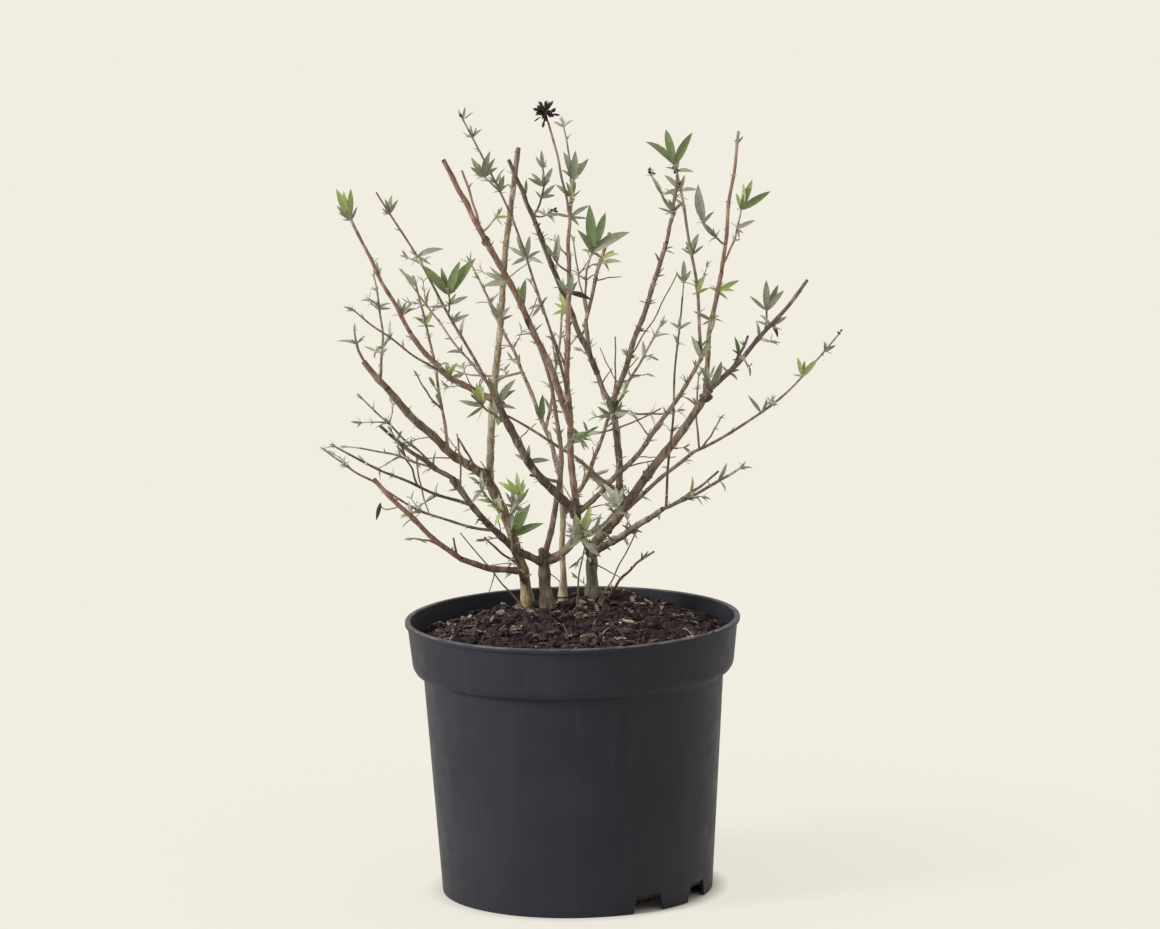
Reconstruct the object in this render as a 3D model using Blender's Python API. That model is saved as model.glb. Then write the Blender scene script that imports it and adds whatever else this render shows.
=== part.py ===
"""A butterfly bush in its black nursery pot, in early spring: cut stems, long arching shoots and small
grey-green leaves at their nodes. Real size, in metres, +Z up, with the origin under the middle of the pot.

Five stems rise from the soil, and four of them fork into boughs. Each bough is one tapering limb. Each spray is
one body: a lead shoot with its side shoots, and leaves fused on at the nodes by one seeded rule. Every limb
starts a hair's breadth clear of the limb it grows from.
"""

import math
import random

import bmesh
import bpy
from mathutils import Matrix, Vector

MM = 0.001
GAP = 0.35 * MM
DOWN = Vector((0, 0, -1))

# The viewpoint, in mm: 5 m in front of the pot's axis and 1.2 m up. A place given as (across, deep, up) is
# where the eye sees it against the upright plane through the axis, and how far behind that plane it really is.
EYE = Vector((9.0, -5000.0, 1200.0))

# The pot, in mm: a 10 litre nursery container, 28 cm across the rim.
POT_SEGMENTS = 36
POT_HEIGHT = 231.0
RIM_RADIUS = 140.0
LIP_HEIGHT = 3.5
LIP_ROUNDING = 1.2
COLLAR_TOP_RADIUS = 137.8
COLLAR_FOOT_RADIUS = 134.2
COLLAR_FOOT_HEIGHT = 192.0
COLLAR_ROUNDING = 2.8
STEP_HEIGHT = 184.5
STEP_RADIUS = 125.5
FOOT_RADIUS = 113.5
POT_WALL = 2.2
FLOOR_UNDERSIDE = 9.0
PAD_RADIUS = 30.0
PAD_SLOPE = 2.0
NOTCH_ANGLES = (31.0, 61.0, 211.0, 241.0)
NOTCH_WIDTH = 30.0
NOTCH_HEIGHT = 15.0
NOTCH_SLOPE = 4.0
NOTCH_INSIDE = 9.0
NOTCH_OUTSIDE = 6.0

# The soil, in mm: a low mound whose flat middle carries the stems.
SEAT = Vector((-5.0, 57.0, 232.0))
SEAT_RADIUS = 44.0
SOIL_EDGE_HEIGHT = 215.0
SOIL_RINGS = 4
SOIL_BUMP = 2.6
SOIL_CALM_EDGE = 20.0
SOIL_CLEARANCE = 0.5

# How a limb is drawn.
STEM_SIDES = 8
BOUGH_SIDES = 6
SHOOT_SIDES = 3
BOUGH_STEP = 24.0
SHOOT_STEP = 42.0
TANGENT_STEP = 0.01
ROOT_FLARE = 2.6
ROOT_FLARE_HEIGHT = 9.0
FLARE_STATIONS = (0.3, 0.65)
FULL_FLARE_WIDTH = 8.0
WANDER = 0.006
MOST_WANDER = 0.8
WANDER_WAVES = (1.2, 2.4)
LIFT_WAVES = 1.3
BASE_REACH = 2.5

# How leaves grow: lengths in mm, tilts in degrees, turns in radians, the rest as shares.
LEAF_THICKNESS = 0.9
LEAF_WIDTH = 0.28
LEAF_SHOULDER = 0.42
LEAF_DROOP = 0.1
WEIGHT_IN_DROOP = 0.5
LEAF_CLEARANCE = 0.6
BLADE_CROWDING = 0.6
ROOT_PAST_AXIS = 0.3
ROOT_SHIFT = 0.4
NODE_LEAVES = (10.0, 18.0)
NODE_TILT = (42.0, 68.0)
FIRST_NODE = 0.75
NODE_SHIFT = 0.15
LAST_NODE = 0.7
TURN_SHIFT = 0.25
TIP_TILT = (16.0, 44.0)
TIP_LENGTH = (0.8, 1.0)
LARGE_LEAF = 17
LARGE_TUFT = 4
SMALL_TUFT = 3
OUTER_LEAVES = 2
OUTER_BACK = 2.6
INNER_BACK = 1.2
INNER_LENGTH = 0.75
INNER_TILT = 0.5
TUFT_DEPTH = 0.5
TUFT_TURN = 0.9
TUFT_BOW = 0.07
PLACE_STEPS = 60

# The pods of a dry seed head: lengths in mm, the rest as shares.
SPIRAL_TURN = 2.4
HEAD_LEAN = 0.35
HEAD_OFFSET = 0.8
CORE_START = 0.94
CORE_WIDTH = 0.9
POD_ROOT = 0.6
POD_REACH = (0.3, 3.6)
POD_SHOULDER = 0.62
POD_HALF_WIDTH = (1.3, 1.95)

# Stems: name, foot (x, y), tip (across, deep, up), bow (across, up), width at foot and tip.
STEMS = (
    ("stem_left", (-37, 45), (-70, 25, 352), (6, 0), (8.6, 8.2)),
    ("stem_middle", (-20, 28), (-23, 26, 283), (-1, 0), (10.5, 8.6)),
    ("stem_right", (17, 66), (17, 62, 289), (0, 0), (9.2, 8.6)),
    ("stem_back", (-8, 85), (-8, 92, 350), (1, 0), (5.4, 4.4)),
    ("stem_low_right", (30, 66), (69, 22, 285), (-3, 3), (2.4, 1.8)),
)

# Boughs: name, what it grows from and how far along that, tip, bow, width at foot and tip.
BOUGHS = (
    ("bough_low_left", "stem_left", 0.27, (-92, -8, 282), (0, -3), (5.6, 4.7)),
    ("bough_thick_left", "stem_left", 1.0, (-150, -30, 427), (0, -7), (7.4, 5.6)),
    ("bough_tall", "stem_left", 0.95, (-37, 86, 626), (-3, 0), (6.2, 4.2)),
    ("bough_fan", "stem_middle", 0.88, (-97, -6, 350), (0, -12), (6.4, 4.7)),
    ("bough_centre", "stem_middle", 0.9, (5, 22, 324), (9, -8), (7.0, 6.4)),
    ("bough_middle", "bough_centre", 0.95, (-60, -26, 416), (-3, -9), (7.0, 6.2)),
    ("bough_long_left", "bough_middle", 1.0, (-130, -62, 474), (-5, -7), (5.6, 3.7)),
    ("bough_leader", "bough_centre", 1.0, (3, 8, 511), (-4, 0), (5.8, 3.8)),
    ("bough_upper_left", "bough_leader", 0.38, (-66, -50, 550), (5, 0), (5.4, 4.8)),
    ("bough_right", "stem_right", 1.0, (118, 22, 421), (1, -2), (8.4, 5.8)),
    ("bough_fork", "bough_right", 0.23, (37, 48, 411), (2, 0), (6.0, 5.4)),
    ("bough_inner_right", "bough_fork", 1.0, (84, -42, 545), (1, 0), (4.8, 3.4)),
    ("bough_back_upper", "bough_fork", 0.96, (16, 78, 480), (-5, 0), (4.2, 3.4)),
    ("bough_dark", "bough_back_upper", 0.4, (-24, 12, 563), (-1, 0), (4.6, 4.2)),
    ("bough_crossing", "bough_centre", 0.93, (111, -30, 447), (3, -9), (4.6, 3.2)),
    ("bough_right_tall", "bough_right", 0.96, (129, 62, 518), (-3, 0), (4.3, 3.7)),
    ("bough_low_right", "stem_right", 0.9, (77, -38, 321), (0, -1), (6.4, 4.2)),
    ("bough_arching", "bough_right", 0.17, (104, 98, 369), (0, 2), (3.8, 3.0)),
    ("bough_back_left", "stem_back", 1.0, (-34, 150, 430), (3, -4), (4.2, 3.2)),
    ("bough_back_right", "stem_back", 0.68, (32, 152, 396), (2, -6), (3.8, 3.0)),
    ("bough_front_left", "stem_left", 0.17, (-50, -62, 316), (-2, -4), (4.2, 3.2)),
    ("bough_front_right", "stem_right", 0.72, (9, -48, 298), (2, -4), (4.2, 3.2)),
)

# Shoots: a spray's lead carries the spray's name, and its side shoots add a word after a point. Each row gives
# name, what it grows from and how far along, tip, bow, width at foot and tip, leafy nodes, leaf length at the
# tip. A tip leaf length of 0 is a pruned end.
SHOOTS = (
    ("spray_low_left", "bough_low_left", 1.0, (-163, -42, 351), (1, -5), (4.6, 3.8), 1, 0),
    ("spray_low_left.end", "spray_low_left", 0.96, (-204, -74, 377), (0, -2), (2.0, 1.3), 1, 9),
    ("spray_low_left.twig", "spray_low_left", 0.14, (-135, -60, 300), (0, 3), (2.0, 1.4), 0, 8),
    ("spray_thick_left", "bough_thick_left", 1.0, (-169, -38, 450), (0, -1), (5.4, 4.8), 0, 0),
    ("spray_thick_left.end", "spray_thick_left", 0.9, (-176, -56, 476), (-2, 0), (2.4, 1.6), 1, 10),
    ("spray_thick_left.rise", "spray_thick_left", 0.3, (-159, 6, 522), (4, 0), (2.4, 1.5), 2, 8),
    ("spray_left_inner", "bough_thick_left", 0.38, (-126, 30, 521), (3, 0), (2.8, 1.7), 2, 0),
    ("spray_left_inner.twig", "spray_left_inner", 0.24, (-125, -14, 438), (-1, -2), (1.8, 1.3), 0, 9),
    ("spray_fan_low", "bough_fan", 0.55, (-165, 28, 350), (0, -9), (2.6, 1.6), 1, 0),
    ("spray_fan_middle", "bough_fan", 0.8, (-196, -60, 380), (0, -4), (2.8, 1.6), 2, 10),
    ("spray_fan_middle.twig", "spray_fan_middle", 0.4, (-148, -110, 392), (2, 0), (1.8, 1.3), 1, 12),
    ("spray_fan_high", "bough_fan", 1.0, (-157, -34, 396), (0, -3), (4.2, 2.6), 2, 0),
    ("spray_fan_high.low", "spray_fan_high", 0.12, (-186, 34, 379), (0, 4), (2.0, 1.3), 1, 9),
    ("spray_fan_high.top", "spray_fan_high", 0.15, (-172, -2, 420), (0, -1), (2.2, 1.4), 2, 10),
    ("spray_long_left", "bough_long_left", 1.0, (-178, -92, 572), (-1, 0), (3.6, 2.4), 0, 0),
    ("spray_long_low", "bough_long_left", 0.28, (-177, -140, 494), (-1, -3), (2.2, 1.4), 2, 12),
    ("spray_left_upper", "bough_middle", 0.93, (-155, -112, 591), (2, 2), (2.7, 1.6), 2, 0),
    ("spray_left_upper.arm", "spray_left_upper", 0.12, (-134, 10, 523), (0, -2), (2.0, 1.3), 2, 10),
    ("spray_left_upper.leaf", "spray_left_upper", 0.44, (-99, -92, 510), (2, 0), (1.8, 1.5), 0, 0),
    ("spray_upper_left", "bough_upper_left", 1.0, (-99, -68, 617), (0, 0), (4.7, 4.0), 0, 0),
    ("spray_upper_left.twin", "spray_upper_left", 0.12, (-84, -38, 608), (1, 0), (2.4, 1.8), 0, 0),
    ("spray_upper_left.tuft", "spray_upper_left", 0.08, (-54, -60, 572), (-2, -3), (1.8, 1.4), 0, 0),
    ("spray_dark", "bough_dark", 1.0, (-45, -6, 616), (0, 0), (3.9, 3.2), 0, 0),
    ("spray_dark.leafy", "spray_dark", 0.1, (-18, -26, 612), (5, 0), (2.0, 1.4), 0, 0),
    ("spray_dark.dead", "spray_dark", 0.14, (-12, 22, 572), (0, -3), (1.7, 1.3), 0, 0),
    ("spray_tufted", "bough_leader", 0.5, (-84, -122, 654), (8, 4), (2.6, 1.4), 2, 0),
    ("spray_tufted.big", "spray_tufted", 0.72, (-67, -80, 604), (-2, 2), (1.8, 1.4), 0, 0),
    ("spray_leader", "bough_leader", 1.0, (8, -4, 598), (-2, 0), (3.8, 2.4), 2, 0),
    ("spray_leader.thin", "spray_leader", 0.72, (0, 20, 646), (3, 0), (1.8, 1.3), 0, 0),
    ("spray_leader.head", "spray_leader", 0.62, (-12, -16, 647), (1, 2), (2.2, 1.8), 0, 0),
    ("spray_leader.left", "spray_leader", 0.12, (-14, -40, 541), (0, -3), (1.8, 1.4), 0, 0),
    ("spray_back_upper", "bough_back_upper", 1.0, (37, 112, 554), (-1, 0), (3.3, 2.9), 0, 0),
    ("spray_back_upper.pair", "spray_back_upper", 0.1, (23, 62, 540), (-4, 0), (2.0, 1.6), 1, 0),
    ("spray_back_upper.thin", "spray_back_upper", 0.06, (7, 96, 548), (-1, 0), (1.8, 1.3), 1, 10),
    ("spray_inner_right", "bough_inner_right", 1.0, (94, -58, 600), (1, 0), (3.3, 2.4), 2, 0),
    ("spray_inner_right.thin", "spray_inner_right", 0.5, (72, -84, 602), (0, -3), (1.7, 1.3), 1, 8),
    ("spray_crossing", "bough_crossing", 1.0, (92, 22, 609), (4, 0), (3.0, 2.2), 2, 0),
    ("spray_crossing.low", "spray_crossing", 0.06, (122, -64, 480), (2, -2), (1.9, 1.5), 1, 14),
    ("spray_right_tall", "bough_right_tall", 1.0, (145, 84, 636), (0, 0), (3.5, 2.5), 0, 0),
    ("spray_right_tall.leaf", "spray_right_tall", 0.06, (146, 118, 571), (2, -2), (2.0, 1.5), 0, 0),
    ("spray_right_tall.low", "spray_right_tall", 0.2, (112, 46, 566), (1, -4), (1.8, 1.4), 0, 0),
    ("spray_right_end", "bough_right", 1.0, (200, -16, 511), (2, -2), (4.6, 2.9), 1, 0),
    ("spray_right_end.twig", "spray_right_end", 0.14, (150, -46, 465), (1, -2), (2.8, 2.2), 1, 0),
    ("spray_right_end.tuft", "spray_right_end", 0.55, (164, 4, 503), (2, 0), (1.8, 1.4), 0, 0),
    ("spray_low_right", "bough_low_right", 1.0, (143, -98, 355), (0, -2), (3.2, 2.0), 2, 12),
    ("spray_low_right.high", "spray_low_right", 0.06, (124, -56, 352), (0, -2), (2.4, 1.9), 1, 0),
    ("spray_low_right.rise", "spray_low_right", 0.04, (98, -84, 514), (-1, 0), (2.3, 1.4), 2, 8),
    ("spray_arching", "bough_arching", 1.0, (226, 150, 466), (3, -11), (2.8, 1.4), 1, 0),
    ("spray_arching.mid", "spray_arching", 0.04, (127, 74, 398), (0, -2), (1.8, 1.3), 0, 9),
    ("spray_arching.rise", "spray_arching", 0.03, (109, 84, 434), (-2, 0), (1.9, 1.4), 1, 12),
    ("spray_arching.tuft", "spray_arching", 0.72, (196, 136, 437), (0, 0), (1.6, 1.3), 0, 0),
    ("spray_back_left", "bough_back_left", 1.0, (-78, 196, 530), (3, -4), (3.0, 1.6), 5, 16),
    ("spray_back_left.arm", "spray_back_left", 0.1, (-96, 186, 442), (0, -5), (2.2, 1.4), 3, 14),
    ("spray_back_middle", "bough_back_left", 0.55, (-2, 214, 508), (2, -4), (2.8, 1.6), 5, 16),
    ("spray_back_right", "bough_back_right", 1.0, (78, 206, 476), (-2, -4), (3.0, 1.6), 5, 16),
    ("spray_back_right.arm", "spray_back_right", 0.15, (92, 178, 404), (0, -4), (2.2, 1.4), 3, 12),
    ("spray_back_low", "bough_back_right", 0.5, (30, 204, 342), (0, 4), (2.6, 1.6), 4, 16),
    ("spray_front_left", "bough_front_left", 1.0, (-42, -150, 336), (-1, -2), (3.0, 1.8), 3, 0),
    ("spray_front_left.arm", "spray_front_left", 0.1, (-76, -126, 346), (-2, -3), (2.2, 1.5), 3, 16),
    ("spray_front_right", "bough_front_right", 1.0, (8, -138, 309), (1, -2), (3.0, 1.8), 3, 0),
    ("spray_front_right.arm", "spray_front_right", 0.1, (44, -116, 330), (2, -3), (2.2, 1.5), 2, 0),
    ("spray_front_middle", "bough_leader", 0.3, (16, -96, 388), (0, -4), (2.6, 1.6), 3, 0),
    ("spray_cluster", "bough_middle", 0.86, (-80, -104, 420), (4, -6), (2.6, 1.8), 1, 0),
    ("spray_fork_front", "bough_fork", 0.86, (36, -34, 408), (0, -3), (2.4, 1.7), 1, 0),
    ("spray_middle", "stem_middle", 1.0, (-37, 10, 491), (22, 0), (5.4, 1.8), 1, 0),
)
SEED_HEADS = {"spray_leader.head": (18, 9.5), "spray_dark.dead": (5, 3.0), "spray_inner_right.thin": (5, 3.0)}

# Tufts whose leaves the photo shows one by one: limb, the tuft's root, and the tip of each leaf.
# Places are (across, up) in mm as the eye sees them.
TUFTS = (
    ("spray_long_left", (-176, 571), ((-188, 595), (-182, 593), (-176, 595), (-175, 584))),
    ("spray_long_left", (-175, 569), ((-188, 581), (-187, 575), (-184, 569), (-171, 580))),
    ("spray_long_left", (-156, 520), ((-156, 534), (-152, 529), (-160, 527))),
    ("spray_thick_left.rise", (-150, 495), ((-158, 497), (-155, 501), (-147, 499), (-145, 494))),
    ("spray_long_left", (-136, 487), ((-124, 494), (-127, 498), (-139, 503), (-132, 500))),
    ("spray_left_upper", (-143, 573), ((-148, 586), (-151, 578), (-142, 589), (-137, 585), (-149, 573))),
    ("spray_left_upper", (-116, 539), ((-128, 544), (-127, 535), (-100, 543), (-118, 529), (-111, 530))),
    ("spray_left_upper.leaf", (-100, 504), ((-118, 530), (-103, 528), (-87, 533), (-74, 535))),
    ("spray_left_upper.leaf", (-98, 496), ((-91, 506), (-81, 503), (-115, 495))),
    ("spray_left_upper", (-89, 483), ((-80, 488), (-87, 491), (-101, 481), (-95, 489))),
    ("spray_left_inner", (-126, 510), ((-135, 524), (-127, 522), (-123, 513))),
    ("spray_left_inner", (-118, 480), ((-127, 487), (-124, 479), (-110, 490), (-109, 478))),
    ("spray_tufted", (-80, 652), ((-80, 661), (-73, 657), (-86, 659))),
    ("spray_tufted", (-75, 634), ((-83, 640), (-76, 646), (-71, 644), (-66, 642))),
    ("spray_tufted.big", (-66, 602), ((-77, 611), (-76, 619), (-70, 614), (-65, 618), (-60, 624))),
    ("spray_tufted.big", (-64, 603), ((-64, 616), (-54, 610), (-56, 618))),
    ("spray_tufted", (-55, 587), ((-57, 600), (-52, 603), (-49, 604), (-45, 596), (-47, 589))),
    ("spray_upper_left.tuft", (-54, 566), ((-51, 577), (-58, 573), (-59, 567), (-46, 569), (-51, 561))),
    ("spray_dark.leafy", (-18, 608), ((-18, 624), (-23, 619), (-14, 616), (-13, 611))),
    ("spray_dark.leafy", (-19, 594), ((-30, 601), (-27, 605), (-9, 609), (-11, 599), (-17, 606))),
    ("spray_dark.leafy", (-15, 583), ((-24, 590), (-7, 595), (-7, 586), (-21, 585))),
    ("spray_dark", (-32, 585), ((-31, 600), (-35, 596))),
    ("spray_dark.dead", (-14, 567), ((-26, 574), (-18, 576), (-8, 574), (-2, 570), (-8, 562))),
    ("spray_leader", (5, 598), ((0, 622), (5, 617), (10, 623), (21, 616), (-2, 607), (14, 604))),
    ("spray_leader", (6, 584), ((-7, 595), (14, 590), (2, 597), (10, 597))),
    ("spray_leader", (6, 568), ((21, 577), (20, 566), (-10, 571), (12, 560))),
    ("spray_leader.thin", (1, 643), ((-8, 647), (9, 648), (-1, 652))),
    ("spray_back_upper.pair", (24, 541), ((21, 578), (34, 571))),
    ("spray_back_upper.pair", (22, 537), ((10, 557), (54, 554), (13, 540), (31, 531))),
    ("spray_back_upper", (31, 530), ((41, 539), (45, 536), (36, 521))),
    ("spray_back_upper", (30, 527), ((47, 529), (20, 527), (25, 518))),
    ("spray_leader.left", (-6, 536), ((-17, 547), (-7, 550))),
    ("spray_leader.left", (-3, 532), ((-12, 539), (-5, 554), (-9, 525))),
    ("spray_tufted", (-32, 533), ((-29, 553), (-20, 540), (-40, 553), (-47, 544), (-18, 529), (-45, 528))),
    ("spray_middle", (-37, 489), ((-33, 517), (-39, 511), (-40, 501))),
    ("spray_tufted", (-24, 492), ((-15, 502), (-32, 491), (-29, 484), (-19, 486))),
    ("spray_crossing", (91, 612), ((68, 629), (85, 639), (107, 636))),
    ("spray_crossing", (94, 603), ((108, 603), (96, 613), (84, 607))),
    ("spray_crossing", (95, 588), ((83, 601), (111, 588), (100, 601), (81, 584))),
    ("spray_inner_right", (88, 570), ((80, 585), (77, 574), (86, 581), (83, 568), (99, 578))),
    ("spray_crossing", (104, 535), ((100, 546), (106, 547), (111, 552), (115, 542), (96, 540))),
    ("spray_right_tall.low", (127, 569), ((111, 593), (124, 570))),
    ("spray_right_tall.leaf", (145, 573), ((148, 593), (156, 596), (142, 585))),
    ("spray_right_tall.leaf", (147, 573), ((171, 586), (151, 588))),
    ("spray_right_tall.leaf", (139, 556), ((158, 562), (148, 551), (144, 546))),
    ("spray_right_tall.low", (134, 556), ((113, 562), (118, 556), (121, 547), (128, 547))),
    ("spray_right_tall", (145, 626), ((145, 637), (149, 632), (141, 629))),
    ("spray_crossing", (111, 501), ((116, 518), (107, 515), (119, 506), (104, 501))),
    ("spray_low_right.rise", (100, 512), ((98, 530), (91, 521), (104, 521))),
    ("spray_low_right.rise", (99, 470), ((85, 478), (94, 483), (104, 478), (90, 471))),
    ("spray_right_end", (135, 432), ((143, 437), (141, 428), (127, 441))),
    ("spray_right_end.tuft", (170, 486), ((166, 512), (176, 508), (181, 503), (152, 499))),
    ("spray_right_end", (167, 476), ((157, 478), (160, 483), (183, 481), (179, 470))),
    ("spray_arching.tuft", (194, 427), ((191, 447), (197, 444), (208, 445), (187, 432))),
    ("spray_arching", (218, 447), ((213, 460), (219, 457), (223, 456), (212, 446))),
    ("spray_arching", (160, 402), ((149, 416), (165, 413), (163, 405))),
    ("spray_cluster", (-76, 408), ((-76, 431), (-80, 426), (-70, 428), (-67, 420), (-84, 414))),
    ("spray_cluster", (-78, 405), ((-91, 416), (-85, 401), (-77, 396))),
    ("spray_fork_front", (38, 398), ((24, 409), (33, 416), (45, 413))),
    ("spray_fork_front", (39, 394), ((48, 402), (30, 390), (43, 384))),
    ("spray_front_middle", (16, 387), ((5, 385), (8, 378), (12, 397), (21, 377), (25, 392))),
    ("spray_front_left", (-43, 335), ((-60, 347), (-53, 350), (-44, 355), (-38, 349))),
    ("spray_front_left", (-44, 326), ((-54, 338), (-48, 343), (-33, 331), (-34, 341))),
    ("spray_front_right", (10, 296), ((4, 319), (10, 316), (17, 326), (20, 309))),
    ("spray_front_right", (10, 292), ((-6, 301), (-2, 289), (32, 311), (-4, 312), (25, 281))),
    ("spray_front_right.arm", (33, 329), ((24, 336), (28, 344), (38, 341), (44, 340), (26, 326))),
)

STEM_COLOURS = {"stem_left": (0.42, 0.34, 0.2), "stem_right": (0.2, 0.19, 0.14)}
BARK_COLOUR = (0.16, 0.12, 0.095)
SPRAY_COLOUR = (0.25, 0.28, 0.17)
POT_COLOUR = (0.035, 0.035, 0.04)
SOIL_COLOUR = (0.045, 0.03, 0.022)
BARK_ROUGHNESS = 0.85
SPRAY_ROUGHNESS = 0.8
POT_ROUGHNESS = 0.5
SOIL_ROUGHNESS = 0.95
SMOOTH_ANGLE = math.radians(40)


def clear_scene():
    for old in list(bpy.data.objects):
        bpy.data.objects.remove(old, do_unlink=True)


def seen(across, deep, up):
    """The point this deep that the eye sees at (across, up) of the upright plane through the axis."""
    scale = (deep - EYE.y) / -EYE.y
    return Vector((EYE.x + (across - EYE.x) * scale, deep, EYE.z + (up - EYE.z) * scale)) * MM


def as_seen(point):
    """Where the eye sees a point against the upright plane: (across, up)."""
    x, y, z = point / MM
    scale = (y - EYE.y) / -EYE.y
    return Vector((EYE.x + (x - EYE.x) / scale, EYE.z + (z - EYE.z) / scale))


class Limb:
    """A tapering limb: a bowed line from its start to its tip, with a little wander of its own."""

    def __init__(self, name, start, tip, bow, widths, first_axis=None):
        chance = random.Random(name)
        self.name = name
        self.node = name.partition(".")[0]
        self.start = start
        self.tip = tip
        self.bow = Vector((bow[0], 0.0, bow[1])) * MM
        self.widths = [width * MM for width in widths]
        self.first_axis = first_axis
        self.length = (tip - start).length
        along = (tip - start).normalized()
        self.side = along.orthogonal().normalized()
        self.lift = along.cross(self.side)
        self.swing = min(MOST_WANDER * MM, WANDER * self.length)
        self.waves = chance.uniform(*WANDER_WAVES)
        self.turn = chance.uniform(0, 2 * math.pi)
        self.flare = 0.0

    def at(self, t):
        wave = 2 * math.pi * self.waves * t + self.turn
        swing = self.swing * math.sin(math.pi * min(max(t, 0.0), 1.0))
        wander = self.side * math.sin(wave) + self.lift * math.cos(LIFT_WAVES * wave)
        return self.start.lerp(self.tip, t) + self.bow * (4 * t * (1 - t)) + wander * swing

    def axis(self, t):
        low, high = max(t - TANGENT_STEP, 0.0), min(t + TANGENT_STEP, 1.0)
        return (self.at(high) - self.at(low)).normalized()

    def radius(self, t):
        width = self.widths[0] + (self.widths[1] - self.widths[0]) * t
        return width / 2 + self.flare * math.exp(-t * self.length / (ROOT_FLARE_HEIGHT * MM))

    def stations(self, step):
        count = max(2, round(self.length / (step * MM)))
        places = [i / count for i in range(count + 1)]
        if self.flare:
            places[1:1] = [share * places[1] for share in FLARE_STATIONS]
        return places

    def capsules(self, step):
        places = self.stations(step)
        return [
            (self.at(a), self.at(b), max(self.radius(a), self.radius(b)), self.node)
            for a, b in zip(places, places[1:])
        ]


def grow_stem(name, foot, tip, bow, widths):
    start = Vector((foot[0] * MM, foot[1] * MM, SEAT.z * MM + GAP))
    limb = Limb(name, start, seen(*tip), bow, widths, first_axis=Vector((0, 0, 1)))
    limb.flare = ROOT_FLARE * MM * min(1.0, widths[0] / FULL_FLARE_WIDTH)
    return limb


def grow_limb(limbs, name, parent_name, along, tip, bow, widths):
    """A limb that carries on from its parent's tip, clear of it, or leaves its side from the parent's middle."""
    parent = limbs[parent_name]
    if along < 1:
        return Limb(name, parent.at(along), seen(*tip), bow, widths)
    axis = parent.axis(1.0)
    return Limb(name, parent.at(1.0) + axis * GAP, seen(*tip), bow, widths, first_axis=axis)


def grow_all_limbs():
    limbs = {}
    for row in STEMS:
        limbs[row[0]] = grow_stem(*row)
    for row in BOUGHS + tuple(row[:6] for row in SHOOTS):
        limbs[row[0]] = grow_limb(limbs, *row)
    return limbs


def new_object(name, mesh_data):
    mesh = bpy.data.meshes.new(name)
    mesh_data.normal_update()
    mesh_data.to_mesh(mesh)
    mesh_data.free()
    solid = bpy.data.objects.new(name, mesh)
    bpy.context.scene.collection.objects.link(solid)
    return solid


def tube(name, limb, sides, step, extra=0.0):
    """A closed tapering tube along a limb, fattened by `extra` on every face."""
    shape = bmesh.new()
    rings = []
    places = limb.stations(step)
    across = None
    for t in places:
        axis = limb.first_axis if t == 0 and limb.first_axis else limb.axis(t)
        across = axis.orthogonal() if across is None else across - axis * across.dot(axis)
        across.normalize()
        other = axis.cross(across)
        radius = limb.radius(t) + extra / math.cos(math.pi / sides)
        middle = limb.at(t)
        if extra and t in (0, 1):
            middle = middle + axis * (extra if t == 1 else -extra)
        turns = [2 * math.pi * i / sides for i in range(sides)]
        ring = [middle + (across * math.cos(a) + other * math.sin(a)) * radius for a in turns]
        rings.append([shape.verts.new(point) for point in ring])
    for low, high in zip(rings, rings[1:]):
        for i in range(sides):
            j = (i + 1) % sides
            shape.faces.new((low[i], low[j], high[j], high[i]))
    shape.faces.new(reversed(rings[0]))
    shape.faces.new(rings[-1])
    return new_object(name, shape)


def lozenge(name, root, shoulder, tip, half_width, half_depth, across):
    """A leaf or a pod: six corners and eight faces, its root sunk in what carries it."""
    outward = (tip - root).normalized()
    across = (across - outward * across.dot(outward)).normalized()
    above = outward.cross(across)
    shape = bmesh.new()
    ends = [shape.verts.new(root), shape.verts.new(tip)]
    waist = [
        shape.verts.new(shoulder + offset)
        for offset in (
            across * half_width,
            above * half_depth,
            across * -half_width,
            above * -half_depth,
        )
    ]
    for i in range(4):
        shape.faces.new((ends[0], waist[(i + 1) % 4], waist[i]))
        shape.faces.new((ends[1], waist[i], waist[(i + 1) % 4]))
    return new_object(name, shape)


def segment_distance(a, b, c, d):
    """The least distance between the segments ab and cd."""
    u, v, w = b - a, d - c, a - c
    uu, uv, vv, uw, vw = u.dot(u), u.dot(v), v.dot(v), u.dot(w), v.dot(w)
    bottom = uu * vv - uv * uv
    s = min(max((uv * vw - vv * uw) / bottom, 0.0), 1.0) if bottom > 1e-18 else 0.0
    t = min(max((uv * s + vw) / vv, 0.0), 1.0) if vv > 0 else 0.0
    s = min(max((uv * t - uw) / uu, 0.0), 1.0) if uu > 0 else 0.0
    return (a + u * s - c - v * t).length


def near(a, b, c, d, keep):
    """Whether the segments ab and cd come closer than `keep`."""
    if (a - c).length > (b - a).length + (d - c).length + keep:
        return False
    return segment_distance(a, b, c, d) < keep


class Space:
    """What already stands where, as capsules, so that a leaf can be kept clear of the rest."""

    def __init__(self, limbs):
        self.taken = []
        self.blades = []
        for limb in limbs.values():
            self.taken += limb.capsules(BOUGH_STEP / 2)

    def free(self, root, shoulder, tip, half_width, node):
        """Clear of every other node, and with its blade clear of its own node's blades."""
        for a, b, radius, owner in self.taken:
            if owner == node:
                continue
            keep = radius + half_width + LEAF_CLEARANCE * MM
            if near(root, tip, a, b, keep):
                return False
        for a, b, radius, owner in self.blades:
            keep = (radius + half_width) * BLADE_CROWDING
            if owner == node and near(shoulder, tip, a, b, keep):
                return False
        return True

    def take(self, root, shoulder, tip, half_width, node):
        self.taken.append((root, tip, half_width, node))
        self.blades.append((shoulder, tip, half_width, node))


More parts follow.
